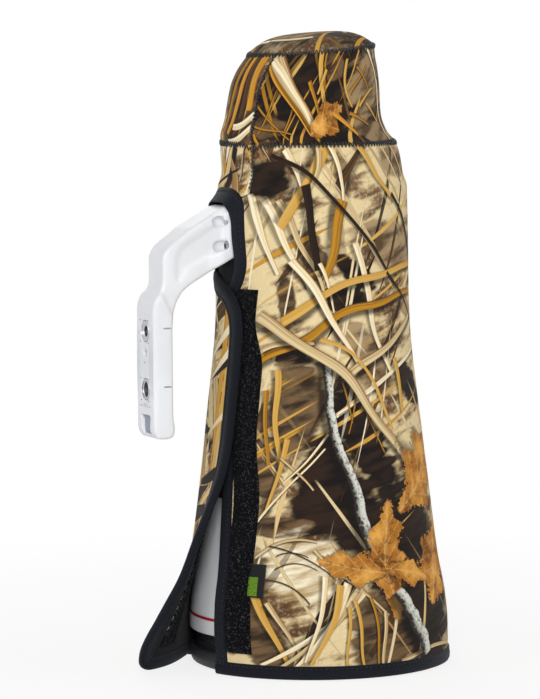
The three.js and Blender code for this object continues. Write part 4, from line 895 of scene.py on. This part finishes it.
def colour_areas(piece, areas):
    """Gives the outer faces of a cloth that lie in each area (low u, high u, low z, high z) the next material."""
    mesh = piece.data
    kind, first = np.zeros(len(mesh.polygons), np.int32), np.zeros(len(mesh.polygons), np.int32)
    mesh.polygons.foreach_get("material_index", kind)
    mesh.polygons.foreach_get("loop_start", first)
    places = np.zeros(len(mesh.loops) * 2, np.float32)
    mesh.uv_layers["cloth"].data.foreach_get("uv", places)
    u, v = places.reshape(-1, 2)[first].T / MM
    for k, (left, right, low, high) in enumerate(areas):
        kind[(kind == 0) & (u >= left) & (u < right) & (v >= low) & (v < high)] = k + 2
    mesh.polygons.foreach_set("material_index", kind)


levels = np.concatenate([np.linspace(6.5, 254, 120), [256.3, 257.6], np.linspace(260, KEYHOLE_ROW, 22),
                         np.linspace(304.5, Z_SHOULDER, 16)])
over = levels > KEYHOLE_ROW + 0.1
first = np.where(over, np.radians(through(SEAM, levels)), facing(slit_y(levels) - TUCK, levels))
left_y = np.where(levels < 257, hinge_y(levels), KEYHOLE_HALF + TUCK)
last = facing(left_y, levels) + 2 * pi
alpha, flat = print_grid(levels, first, last, 178, 26)
z = np.repeat(levels[:, None], alpha.shape[1], 1)
seam_dip = -0.5 * np.exp(-((z - Z_SHOULDER) / 1.6) ** 2)
outer, inner = on_cover(alpha, z, seam_dip), on_cover(alpha, z, -FABRIC)
keep = np.ones((len(levels) - 1, alpha.shape[1] - 1), bool)
keep[levels[1:] < KEYHOLE_ROW + 0.1, 177:] = False
body = slab("cover_body_cloth", outer, inner, flat, keep)
wear(body, "carrier", PRINTS[0], LINING, *PRINTS[1:], replaces=["cover_body"], slot="printed_neoprene")
colour_areas(body, AREAS[1:])

# ---- The cover's sleeve and its round top ----
levels = np.linspace(Z_SHOULDER, Z_SLEEVE_TOP, 40)
first = np.radians(through(SEAM, levels))
alpha, flat = print_grid(levels, first, first + pi, 90, 90)
z = np.repeat(levels[:, None], alpha.shape[1], 1)
dips = -0.5 * np.exp(-((z - Z_SHOULDER) / 1.6) ** 2) - 0.4 * np.exp(-((z - Z_SLEEVE_TOP) / 1.2) ** 2)
sleeve = slab("cover_sleeve_cloth", on_cover(alpha, z, dips, SLEEVE_RINGS),
              on_cover(alpha, z, -FABRIC, SLEEVE_RINGS), flat)
wear(sleeve, "carrier", PRINT_TOP, LINING, replaces=["cover_sleeve"], slot="printed_neoprene")


def top_at(alpha, share, drop=0.0):
    """The end disc: a dome over the sleeve's tilted top plane, whose height falls with the fourth power."""
    ring = SLEEVE_RINGS[-1]
    radius = share * (ring[1] + swell(alpha, Z_SLEEVE_TOP))
    x = -radius * np.cos(alpha) - ring[2]
    height = Z_SLEEVE_TOP + 0.2 + x * ring[3] + DOME_HEIGHT * (1 - share ** 4) - drop
    return np.stack([x, -radius * np.sin(alpha), height], -1)


share, turn = np.meshgrid(np.sin(np.linspace(0, pi / 2, 34)), np.linspace(0, 2 * pi, 181), indexing="ij")
flat = np.stack([140 + 40 * share * np.cos(turn), 372 + 40 * share * np.sin(turn)], -1)
crease = 0.45 * np.exp(-((share - 1) * 40 / 1.2) ** 2)
top = slab("cover_top_cloth", top_at(turn, share, crease), top_at(turn, share * 0.93, FABRIC), flat)
wear(top, "carrier", PRINT_TOP, LINING, replaces=["cover_top"], slot="printed_neoprene")

# ---- The bindings of the opening and the hem ----
# across from the edge and out from the cloth: over the top with its stitched groove, and back underneath
OPENING_PROFILE = np.array([
    (9.5, -3.6), (6, -3.85), (1.2, -3.8), (0.3, -3.0), (0, -1.4), (0.3, 0.2), (1.2, 0.95), (3.5, 1.15), (6.5, 1.0),
    (6.9, 0.62), (7.3, 0.62), (7.7, 0.98), (9.0, 0.75), (9.5, 0.1)])
ahead = np.gradient(ROUTE, axis=0)
across = unit(np.stack([-ahead[:, 1], ahead[:, 0]], -1))


def beside_opening(s, o):
    """Points s millimetres from the opening's edge, o out from the cloth. Over the foot the edge stands up."""
    lip = 3.8 * np.clip((ROUTE[:, 1, None] - 284) / 12, 0, 1) ** 2
    o = o + lip * np.clip(1 - s / BINDING_WIDTH, 0, 1) ** 1.5
    y = ROUTE[:, 0, None] + across[:, 0, None] * s
    z = ROUTE[:, 1, None] + across[:, 1, None] * s
    return on_cover(facing(y, z, o), z, o)


binding = sweep("opening_binding_tape", beside_opening(OPENING_PROFILE[:, 0], OPENING_PROFILE[:, 1]))
wear(binding, "carrier", TAPE, replaces=["opening_binding"], slot="binding_tape")


def running_stitches(name, path, lift, radius=0.26, length=2.1, gap=1.1):
    """Straight stitches along a path of points, each from one needle hole to the next."""
    fine = even(path, (length + gap) / 4)
    count = len(fine) // 4
    starts, ends = fine[: count * 4: 4], fine[2: count * 4: 4] + (fine[3: count * 4: 4] - fine[2: count * 4: 4]) * 0.5
    count = min(len(starts), len(ends))
    return stitches(name, starts[:count], ends[:count], np.broadcast_to(lift(starts[:count]), (count, 3)), radius)


def outwards(points):
    """Roughly the cover's normal: away from the lens axis."""
    return unit(points * [1, 1, 0])


wear(running_stitches("opening_stitches", beside_opening(np.array([7.1]), np.array([0.7]))[:, 0], outwards),
     "carrier", THREAD, slot="binding_tape")

HEM_MIDDLE = np.array(7.0)
hem_start, hem_end = (float(facing(np.array(y), HEM_MIDDLE)) for y in (SLIT_EDGE_LOW + 0.2, hinge_y(7.0)))
hem_alpha = np.linspace(hem_start, 2 * pi + hem_end + 0.012, 260)
HEM_PROFILE = np.array([
    (9.2, 0.1), (8.9, 0.75), (8.2, 0.98), (7.7, 0.6), (7.3, 0.6), (6.8, 1.0), (4.6, 1.3), (2.4, 1.15),
    (1.0, 0.5), (0.5, -0.8), (0.6, -2.6), (1.4, -3.5), (5, -3.85), (11.6, -3.7)])
hem = sweep("hem_binding_tape", on_cover(hem_alpha[:, None], HEM_PROFILE[None, :, 0], HEM_PROFILE[None, :, 1]))
wear(hem, "carrier", TAPE, replaces=["hem_binding"], slot="binding_tape")
wear(running_stitches("hem_stitches", on_cover(hem_alpha, np.full_like(hem_alpha, 7.5), 0.7), outwards),
     "carrier", THREAD, slot="binding_tape")


# the black cloth that closes the gap between the flap's top and the foot
levels = np.linspace(234, 262.5, 16)
left, right = facing(hinge_y(levels) + 1, levels), facing(slit_y(levels) - 3, levels)
share = np.linspace(0, 1, 24)
alpha = left[:, None] + (right - left)[:, None] * share
z = np.repeat(levels[:, None], 24, 1)
sag = -2.2 + 1.2 * np.sin(pi * share) * np.sin(z / 5) * 0.6
gusset = slab("foot_gusset", on_cover(alpha, z, sag), on_cover(alpha, z, sag - 1.3), np.stack([alpha * UNROLL, z], -1))
wear(gusset, "carrier", LINING, LINING, slot="printed_neoprene")


# ---- The zigzag seams ----
def shell(alpha, z, offset):
    """The outside of the cover below the shoulder, and of the sleeve above it."""
    low, high = on_cover(alpha, z, offset), on_cover(alpha, z, offset, SLEEVE_RINGS)
    return np.where((z < Z_SHOULDER)[..., None], low, high)


def shoulder_dip(alpha):
    """The shoulder seam drops where the upright seam crosses it."""
    return -3.5 * np.exp(-((wrap(alpha - radians(through(SEAM, Z_SHOULDER))) / 0.09) ** 2))


def shoulder_place(along, beside):
    alpha = along / SHOULDER_RADIUS
    return shell(alpha, Z_SHOULDER + 0.1 + shoulder_dip(alpha) + beside, 0.0)


def rim_place(along, beside):
    """Beside the top seam: on the sleeve below it and on the dome above it."""
    alpha = along / RIM_RADIUS
    below = on_cover(alpha, Z_SLEEVE_TOP + np.minimum(beside, 0), 0.0, SLEEVE_RINGS)
    return np.where((beside < 0)[..., None], below, top_at(alpha, 1 - np.maximum(beside, 0) / 55))


def upright_place(along, beside):
    z = 307.0 + along
    alpha = np.radians(through(SEAM, z)) + beside / 56
    return shell(alpha, z, 0.0)


def leaning_out(place, tilt):
    def normal(along):
        return unit(place(along, np.zeros_like(along)) * [1, 1, 0] + [0, 0, tilt])
    return normal


for name, place, length, tilt in (("shoulder_seam", shoulder_place, 2 * pi * SHOULDER_RADIUS, 28),
                                  ("top_seam", rim_place, 2 * pi * RIM_RADIUS, 30),
                                  ("upright_seam", upright_place, 87.0, 5)):
    wear(zigzag(name, place, leaning_out(place, tilt), length), "carrier", THREAD, slot="binding_tape")

# ---- The loop strip and the tab ----
STRIP_EDGE = [(15.5, 38.1), (60, 36.4), (110, 38), (150, 34.6), (195, 35.6), (223, 30), (244, 32)]
rng = np.random.default_rng(7)
levels = np.linspace(15.5, 244, 330)
radius = through(BODY_RINGS, levels)
waver = np.convolve(rng.normal(0, 1, 330 + 24), np.hanning(25) / 12, "valid")
free = np.radians(through(STRIP_EDGE, levels)) + waver * 0.35 / radius
sewn = np.maximum(free - 20 / radius, facing(slit_y(levels) - BINDING_WIDTH - 0.2, levels))
share = np.linspace(0, 1, 30)
alpha = sewn[:, None] + (free - sewn)[:, None] * share
z = np.repeat(levels[:, None], 30, 1)
pile = 1.5 * (1 - np.abs(2 * share - 1) ** 10) + 0.35 + rng.normal(0, 0.16, alpha.shape)
pile[0] = pile[-1] = 0.6
flat = np.stack([alpha * UNROLL, z], -1)
strip = slab("loop_strip_pile", on_cover(alpha, z, pile), on_cover(alpha, z, 0.1), flat)
wear(strip, "carrier", PILE, PILE, replaces=["loop_strip"], slot="loop_pile")

count = 3600
row, column = rng.uniform(2, 327, count), rng.uniform(0.02, 0.99, count)
root_z = np.interp(row, np.arange(330), levels)
root_alpha = np.interp(row, np.arange(330), sewn) * (1 - column) + np.interp(row, np.arange(330), free) * column
heading, reach = rng.uniform(0, 2 * pi, count), rng.uniform(0.7, 1.5, count)
starts = on_cover(root_alpha, root_z, 1.75)
ends = on_cover(root_alpha + np.cos(heading) * reach / 75, root_z + np.sin(heading) * reach, 1.75)
tufts = stitches("loop_strip_tufts", starts, ends, outwards(starts), 0.11, lift=7, sides=3)
wear(tufts, "carrier", PILE, slot="loop_pile")

levels = np.linspace(51.7, 72.4, 24)
share = np.linspace(0, 1, 18)
edge = np.radians(through(STRIP_EDGE, levels))[:, None]
radius = through(BODY_RINGS, levels)[:, None]
alpha = edge + (-1.5 + 11.5 * share[None]) / radius
z = np.repeat(levels[:, None], 18, 1)
lift = 0.9 + 1.3 * share[None] ** 3 + 0.25 * np.sin(z / 4)
flat = np.stack([np.broadcast_to(share * 9, alpha.shape), z], -1)
tab = slab("side_tab", on_cover(alpha, z, lift + 0.7), on_cover(alpha, z, lift - 0.5), flat)
wear(tab, "carrier", WEBBING, WEBBING, GREEN, replaces=["label_tab"], slot="tab_cloth")
colour_areas(tab, [(-9, 5.0, 52.5, 63.5)])

# ---- The flap ----
heights = np.linspace(0, 256, 129)
grid = flap_middle(*np.broadcast_arrays(np.linspace(0, 1, 41)[None, :], heights[:, None]))
WIDTHS = np.linalg.norm(np.diff(grid, axis=1), axis=-1).sum(1)


def flap_width(z):
    """How far it is along the cloth from the hinge line to the free edge."""
    return np.interp(z, heights, WIDTHS)


across = np.linspace(FLAP_ROOT, 1, 64)
inset = 3.0
level = np.linspace(0, 1, 130)[:, None]
bottom, upper = flap_low(across) + inset, flap_high(across) - inset
z = bottom + (upper - bottom) * level
share = np.minimum(across, 1 - inset / flap_width(z))
flat = np.stack([220 + share * flap_width(z), z], -1)
panel = slab("flap_cloth", flap_at(share, z, FABRIC / 2), flap_at(share, z, -FABRIC / 2), flat)

steps = np.linspace(0.0, 1, 40)
top_path = np.stack([steps, flap_high(steps)], -1)
hem_path = np.stack([steps, flap_low(steps)], -1)
edge_path = np.concatenate([top_path, hem_path[::-1]])
EDGE = even(np.stack([edge_path[:, 0] * flap_width(edge_path[:, 1]), edge_path[:, 1]], -1), 1.8, soften=3)
ahead = np.gradient(EDGE, axis=0)
inward = unit(np.stack([ahead[:, 1], -ahead[:, 0]], -1))


def beside_flap_edge(s, o):
    """Points s millimetres in from the flap's edge along the cloth, o off its middle surface."""
    x = EDGE[:, 0, None] + inward[:, 0, None] * s
    z = EDGE[:, 1, None] + inward[:, 1, None] * s
    return flap_at(x / flap_width(z), z, np.broadcast_to(o, x.shape))


FLAP_PROFILE = np.array([
    (9.5, 1.9), (9.0, 2.45), (7.7, 2.75), (7.3, 2.35), (6.9, 2.35), (6.5, 2.75), (3.2, 2.95), (1.1, 2.6), (0.2, 1.6),
    (0, 0), (0.2, -1.4), (1.1, -2.2), (3.2, -2.45), (6.5, -2.3), (6.9, -2.0), (7.3, -2.0), (7.7, -2.3), (9.0, -2.2),
    (9.5, -1.7)])
flap_tape = sweep("flap_binding_tape", beside_flap_edge(FLAP_PROFILE[:, 0], FLAP_PROFILE[:, 1]))


def stitch_line(name, s, o, material):
    """Straight stitches along the flap's edge, s in from it, on the side that o says."""
    fine = beside_flap_edge(np.array([s]), np.array([o]))[:, 0]
    off = unit(fine - beside_flap_edge(np.array([s]), np.array([0.0]))[:, 0])
    starts, ends, normals = fine[:-1], fine[:-1] + (fine[1:] - fine[:-1]) * 0.7, off[:-1]
    return dressed(stitches(name, starts, ends, normals, 0.24), material)


flap_pieces = [dressed(panel, PRINT_FLAP, LINING), dressed(flap_tape, TAPE),
               stitch_line("flap_stitches_out", 7.1, 2.4, THREAD), stitch_line("flap_stitches_in", 7.1, -2.05, THREAD)]

level = np.linspace(17.5, 210, 200)[:, None]
share = np.linspace(0.6, 0.84, 24)[None, :]
z = np.broadcast_to(level, (200, 24))
across = np.broadcast_to(share, (200, 24))
nap = -2.75 + rng.normal(0, 0.08, z.shape)
flat = np.stack([across * flap_width(z), z], -1)
hooks = slab("hook_strip_tape", flap_at(across, z, nap), flap_at(across, z, -1.6), flat)
flap_pieces.append(dressed(hooks, HOOKS, HOOKS))
for k, share in enumerate((0.615, 0.825)):
    zs = np.arange(18.5, 209, 3.1)
    a = np.full_like(zs, share)
    row = flap_at(a, zs, -2.95), flap_at(a, zs + 2.1, -2.95)
    off = unit(row[0] - flap_at(a, zs, 0.0))
    flap_pieces.append(dressed(stitches(f"hook_stitches_{k + 1}", *row, off, 0.24), THREAD))

zs = np.arange(30, 150, 6.4)
near, far = 1 - 11.6 / flap_width(zs), 1 - 14.2 / flap_width(zs)
starts, middles, ends = (np.concatenate([flap_at(side, zs + lean * way, off) for lean in (1.2, -1.2)])
                         for side, way, off in ((near, 1, -2.0), (near, 1, 0.0), (far, -1, -2.0)))
flap_pieces.append(dressed(stitches("flap_cross_stitches", starts, ends, unit(starts - middles), 0.22), PALE_THREAD))

# the direction of the hinge line, and a direction square to it that leans out from the cover
fold = unit(HINGE_TOP - HINGE_LOW)
outbound = np.array([-0.438, -0.899, 0.0])
outbound = unit(outbound - fold * float(outbound @ fold))
for piece in flap_pieces:
    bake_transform(piece)
for piece, nodes, slot in ((panel, ["flap_panel"], "printed_neoprene"), (flap_tape, ["flap_binding"], "binding_tape"),
                           (hooks, ["hook_strip"], "hook_tape")):
    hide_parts(*nodes)

# ---- The lens in the slit ----
def lens_radius(z):
    """The lens's outline, straight between its corners as it is machined."""
    return np.interp(z, [row[0] for row in LENS_OUTLINE], [row[1] for row in LENS_OUTLINE])


cap = turned("front_cap_skin", [
    (0, 0), (75.5, 0), (79.7, 1.8), (81.5, 6), (81.5, 12.2), (77.8, 12.2), (77.8, 3), (0, 3)], round_by=1.2)
wear(cap, "cap", CAP_CLOTH, replaces=["front_cap"], slot="cap_cloth")
hood = turned("hood_ring_skin", [
    (72.3, 3.3), (77.5, 3.3), (77.5, 15.2), (76.9, 15.7), (76.9, 16.6), (77.5, 17.1), (77.5, 22.7), (69.5, 22.7),
    (69.5, 20.3), (72.3, 20.3)])
wear(hood, "barrel", BLACK, replaces=["hood_ring"], slot="black_plastic")

BUTTON_LEVEL, BUTTON_RADIUS = 95.0, 6.0


def pocketed(radius, turn, height):
    """The barrel's radius, less the round pocket of each of the four buttons."""
    side = wrap(turn * 4 - pi) / 4
    away = np.hypot(side * radius, height - BUTTON_LEVEL)
    depth = 3.2 * np.clip((BUTTON_RADIUS + 0.5 - away) / 0.5, 0, 1)
    return radius - np.where(radius > 68.5, depth, 0)


low, high = Z_FRONT + 9.5, Z_FRONT + 10.9
outside = [(lens_radius(z), z) for z in (45, 66, *np.arange(86, 104, 0.8), 109.7)]
front = turned("front_barrel_skin", [
    (69.5, 23), (80.9, 23), (81.5, 23.6), (81.3, low - 0.3), (80.1, low - 0.3), (80.1, high + 0.3),
    (81.0, high + 0.3), *outside, (65, 109.7), (70.9, 66), (71.5, 28), (69.5, 28)],
    segments=384, round_by=0.3, shape=pocketed)
wear(front, "barrel", WHITE, replaces=["front_barrel"], slot="white_paint")
stripe = turned("red_ring_skin", [(80.4, low), (81.25, low), (81.15, high), (80.4, high)], round_by=0.3)
wear(stripe, "barrel", RED, replaces=["red_ring"], slot="red_paint")


def ribbed(radius, turn, height):
    """Square ribs round a grip, eased at both its ends."""
    count, rise, low, high = 96, 0.35, 113, 146
    rib = np.clip(np.sin(turn * count) * 2.5, -1, 1) * rise
    ends = np.clip(np.minimum(height - low, high - height), 0, 1)
    return radius + np.where(radius > 62.5, rib * ends - rise, 0)


focus_outside = [(69.6 - (z - 110) * 0.12, z) for z in (110, 112.5, 113.5, 130, 145.5, 146.5, 149.7)]
focus = turned("focus_ring_grip", [(61.5, 110), *focus_outside, (61.5, 149.7)], segments=576, round_by=0.3,
               shape=ribbed)
wear(focus, "focus_grip", RUBBER, replaces=["focus_ring"], slot="ring_rubber")
middle = turned("mid_barrel_skin", [
    (56.2, 110.3), (61.2, 110.3), (61.2, 150), (62.2, 150), (62.2, 156), (61.9, 156.4), (61.9, 157.2), (62.1, 157.6),
    (55.1, 220), (54.2, 256), (46, 256), (46, 299.7), (41, 299.7), (41, 251), (52.3, 251), (52.3, 150), (56.2, 150)],
    round_by=0.3)
wear(middle, "barrel", WHITE, replaces=["mid_barrel"], slot="white_paint")


# ---- The foot ----
def prism(outline, low, high, flat="xz", name="cutter"):
    """A solid: an outline in two axes, carried straight along the third from low to high."""
    outline = np.array(outline, float)
    rings = []
    for level in (low, high):
        level = np.full(len(outline), float(level))
        a, b = outline.T
        rings.append(np.stack([a, level, b] if flat == "xz" else [level, a, b], -1))
    return sweep(name, np.array(rings), merge=0)


def cast(name, source, added, cutters, voxel, passes):
    """A solid, merged, added to and cut, then remeshed finely and smoothed, so that its edges are soft as cast."""
    made = bpy.data.objects.new(name, source.data.copy())
    bpy.context.scene.collection.objects.link(made)
    work = bmesh.new()
    work.from_mesh(made.data)
    bmesh.ops.remove_doubles(work, verts=work.verts, dist=1e-6)
    work.to_mesh(made.data)
    work.free()
    for operation, solids in (("UNION", added), ("DIFFERENCE", cutters)):
        for solid in solids:
            step = made.modifiers.new("cut", "BOOLEAN")
            step.operation, step.object, step.solver = operation, solid, "EXACT"
    remesh = made.modifiers.new("fine", "REMESH")
    remesh.mode, remesh.voxel_size, remesh.use_smooth_shade = "VOXEL", voxel * MM, True
    smooth = made.modifiers.new("soft", "SMOOTH")
    smooth.factor, smooth.iterations = 0.5, passes
    mesh = bpy.data.meshes.new_from_object(made.evaluated_get(bpy.context.evaluated_depsgraph_get()))
    made.modifiers.clear()
    made.data = mesh
    mesh.materials.clear()
    for solid in added + cutters:
        bpy.data.objects.remove(solid)
    return made


def up(points):
    """Points given as distances out from the axis and up from the collar, as X and Z."""
    return [(-out, Z_COLLAR + rise) for out, rise in points]


def pocket(y, z):
    """The pocket of a foot screw: a bore that narrows and runs out of the arm's side."""
    turn = np.linspace(0, 2 * pi, 19)[:-1]
    rings = []
    for x, radius, shift in ((-65.6, 1.2, 0), (-66.2, 2.9, 0), (-67, 3.5, 0), (-70.5, 3.6, 0), (-72.6, 3.1, 0.4),
                             (-74.4, 2.0, 1.2), (-75.6, 0.6, 2.1)):
        rings.append(np.stack([np.full(18, float(x)), y + np.sign(y) * shift + radius * np.cos(turn),
                               z + radius * np.sin(turn)], -1))
    return sweep("cutter", np.array(rings), merge=0)


ARM_HALF = 13.3  # half the arm's breadth
# the arm's full outline, and the shallow channel in each of its sides
ARM_FILL = up([(59.5, 18.8), (67, 17.6), (74, 13.8), (90, 4.8), (101.5, -3.4), (106.5, -8), (108.6, -13),
               (108.8, -28), (105, -38), (102.6, -52), (101, -44), (96, -35), (88, -29), (74, -21), (66.5, -16),
               (66.5, 0)])
CHANNEL = up([(66, 9.0), (76, 5.6), (88, -1.4), (96, -7), (99.6, -12.5), (100.6, -22), (99.4, -30), (97, -27),
              (92, -20.5), (84, -15.8), (75, -11.6), (66, -8)])
CHANNEL_DEPTH = 1.4
fill = [prism(ARM_FILL, -ARM_HALF, ARM_HALF)] + [
    prism([(-8, z - 8), (8, z - 8), (8, z + 8), (-8, z + 8)], -FOOT_REACH, -105, flat="yz") for z in INSERT_LEVELS]
soft = cast("soft_foot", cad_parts["foot"], fill, [
    prism(CHANNEL, -20, -ARM_HALF + CHANNEL_DEPTH), prism(CHANNEL, ARM_HALF - CHANNEL_DEPTH, 20)], 0.9, 22)
cutters = [prism([(-6.6, 153), (6.2, 153), (7.4, 164.7), (-7.4, 164.7)], -119, -113.6, flat="yz"),
           prism(arc((0, 204.6), 2.6, 0, 2 * pi, 21)[:-1], -119, -112, flat="yz"),
           *[prism(arc((0, z), 7.0, 0, 2 * pi, 41)[:-1], -119, -106.4, flat="yz") for z in INSERT_LEVELS],
           *[pocket(y, z) for y in (-12.2, 12.2) for z in (270.9, 286.6)]]
foot = cast("foot_casting", soft, [], cutters, 0.6, 3)
bpy.data.objects.remove(soft)
wear(foot, "carrier", WHITE, replaces=["foot"], slot="white_paint")


def raised(name, places, length, radius, lift, material):
    """Upright bars on the foot's outer face, from places given as how far in, Y and Z."""
    starts = np.array([(-FOOT_REACH + inside, y, z) for inside, y, z in places])
    normals = np.tile([-1.0, 0, 0], (len(starts), 1))
    made = stitches(name, starts, starts + [0, 0, length], normals, radius, lift=lift)
    wear(made, "carrier", material, slot="white_paint")


# the ribs and dots are painted in the darker grey that stands in for shade
raised("foot_ribs", [(0.25, y, 172.0) for y in (-10.6, -8.4, 8.4, 10.6, -12.6, 12.6)], 53, 0.5, 0.25, GROOVE_SHADE_PAINT)
raised("foot_dots", [(0, y, 170.2) for y in (-8, -4, 0, 4, 8)], 1.7, 0.8, 0.4, GROOVE_SHADE_PAINT)
spots = [(y, z + dz) for z in INSERT_LEVELS for y in (-6.2, 6.2) for dz in (-7.0, 7.0)] + [(0, 198.2), (0, 171.8)]
raised("foot_spots", [(-0.1, y, z - 0.35) for y, z in spots], 0.7, 0.6, 0, MARKING)
# painted shade: dark plates set into the trapezoid recess and the pin hole
recess = prism([(-6.2, 153.6), (5.8, 153.6), (7.0, 164.2), (-7.0, 164.2)], -114.7, -112.5, "yz", "foot_recess_shade")
wear(recess, "carrier", RECESS_SHADE, slot="white_paint")
pin_hole = prism(arc((0, 204.6), 2.9, 0, 2 * pi, 21)[:-1], -114.4, -111, "yz", "foot_pin_hole_shade")
wear(pin_hole, "carrier", RECESS_SHADE, slot="white_paint")
FOOT_HALF = 15.12  # half the foot's breadth
dash = np.array([(-110.4, side * FOOT_HALF, z + 2.5) for side in (-1, 1) for z in INSERT_LEVELS])
dashes = stitches("foot_dashes", dash, dash + [5.8, 0, 0], dash * [0, 1, 0] / FOOT_HALF, 0.6, lift=0)
wear(dashes, "carrier", MARKING, slot="white_paint")


def bush(name, bore, level):
    """A steel bush: a flat collar with eased edges, a step and a chamfer down to its bore."""
    face, back = -FOOT_REACH - 0.05, -FOOT_REACH + 10
    profile = [(6.7, back), (6.7, face + 0.5), (6.2, face), (5.5, face), (5.4, face + 0.35), (bore + 1.1, face + 0.35),
               (bore, face + 1.3), (bore, back)]
    return turned(name, profile, segments=72, round_by=0.15, axis="x", at=(0, 0, level), sharp=30)


def bore_thread(name, bore, level):
    """The bush's bore: the ridges of its thread, and a floor that closes it, both very dark as painted shade down the
    bore.
    """
    top = -FOOT_REACH + 1.0
    ridges = [(bore - 0.05 - 0.42 * (k % 2), top + 0.62 * k) for k in range(13)]
    profile = [*ridges, (0.01, ridges[-1][1])]
    return turned(name, profile, segments=72, round_by=0.1, axis="x", at=(0, 0, level), sharp=30)


for size, bore, level in zip(("small", "large"), (3.35, 4.9), INSERT_LEVELS):
    wear(bush(f"{size}_bush", bore, level), "carrier", STEEL, replaces=[f"insert_{size}"], slot="bare_steel")
    wear(bore_thread(f"{size}_bore", bore, level), "carrier", BORE_SHADE_STEEL, slot="bare_steel")

# ---- The solids that are kept as they are ----
KEPT = {WHITE: ["rear_barrel", "collar_ring"],
        BLACK: ["switch_plate", *(f"switch_{k}" for k in (1, 2, 3)), "second_cell", "focus_cell", "rear_cell",
                "rear_cap", "lock_knob"],
        RUBBER: [*(f"function_button_{k}" for k in (1, 2, 3, 4)), "control_ring", "mount_seal"],
        STEEL: ["strap_lug_1", "strap_lug_2", "bayonet_mount", "lock_shaft",
                *(f"foot_screw_{k}" for k in (1, 2, 3, 4))],
        GLASS: ["front_element", "second_element", "focus_element", "rear_element"]}
for material, nodes in KEPT.items():
    for node in nodes:
        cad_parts[node].data.materials.clear()
        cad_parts[node].data.materials.append(material)

# ---- The floor, the light and the camera ----
def backdrop_finish():
    """Pale ground that the camera sees as white, with part of the object's shadow left on it."""
    f = Finish("pale_floor", Base_Color=(0.9, 0.9, 0.9), Roughness=0.9)
    path = f.node("ShaderNodeLightPath")
    seen = path.math("MAXIMUM", path.other("Is Camera Ray"), path.other("Is Glossy Ray"))
    seen = seen.math("MAXIMUM", seen, path.other("Is Transmission Ray"))
    glow = f.node("ShaderNodeEmission", ((1, 1, 1), 1.0))
    away = f.node("ShaderNodeVectorMath", (f.body_place(),), out="Value", operation="LENGTH")
    both = f.node("ShaderNodeMixShader", (seen * (away.step(120, 700) * 0.2 + 0.8), Wire(f, f.shader.outputs[0]), glow))
    f.fill(f.tree.nodes["Material Output"].inputs["Surface"], both)
    return f.material


floor = make("floor", [(-9000, -9000, 0), (9000, -9000, 0), (9000, 9000, 0), (-9000, 9000, 0)], [(0, 1, 2, 3)])
floor.data.materials.append(backdrop_finish())

world = bpy.data.worlds.new("studio")
bpy.context.scene.world = world
world.use_nodes = True
nodes, links = world.node_tree.nodes, world.node_tree.links
room = nodes["Background"]
room.inputs["Color"].default_value, room.inputs["Strength"].default_value = (1, 1, 1, 1), 0.42
white = nodes.new("ShaderNodeBackground")
white.inputs["Color"].default_value, white.inputs["Strength"].default_value = (1, 1, 1, 1), 1.0
path, either, mixed = nodes.new("ShaderNodeLightPath"), nodes.new("ShaderNodeMath"), nodes.new("ShaderNodeMixShader")
either.operation, either.use_clamp = "ADD", True
links.new(path.outputs["Is Camera Ray"], either.inputs[0])
links.new(path.outputs["Is Glossy Ray"], either.inputs[1])
links.new(either.outputs[0], mixed.inputs[0])
links.new(room.outputs[0], mixed.inputs[1])
links.new(white.outputs[0], mixed.inputs[2])
links.new(mixed.outputs[0], nodes["World Output"].inputs["Surface"])


def aim(made, place, target):
    made.location = place
    made.rotation_euler = (Vector(target) - Vector(place)).to_track_quat("-Z", "Y").to_euler()


def softbox(name, place, size, power):
    light = bpy.data.lights.new(name, "AREA")
    light.shape, light.size, light.energy = "SQUARE", size, power
    made = bpy.data.objects.new(name, light)
    bpy.context.scene.collection.objects.link(made)
    aim(made, place, (0, 0, 0.2))


softbox("key", (-1.1, -2.5, 1.5), 1.1, 46)
softbox("fill", (-2.4, -0.4, 0.9), 1.2, 8)
softbox("side", (2.2, -1.3, 1.0), 1.2, 9)
softbox("back", (0.8, 2.4, 1.5), 1.4, 14)

camera = bpy.data.objects.new("camera", bpy.data.cameras.new("camera"))
bpy.context.scene.collection.objects.link(camera)
bpy.context.scene.camera = camera
camera.data.sensor_width, camera.data.lens, camera.data.clip_end = 36, 214.8, 50
CAMERA_REACH, CAMERA_HEIGHT = 2.674, 0.446
aim(camera, (-CAMERA_REACH * 0.4067, -CAMERA_REACH * 0.9135, CAMERA_HEIGHT), (-0.0256, 0.0114, 0.2015))
camera.rotation_euler.rotate_axis("Z", radians(-0.45))
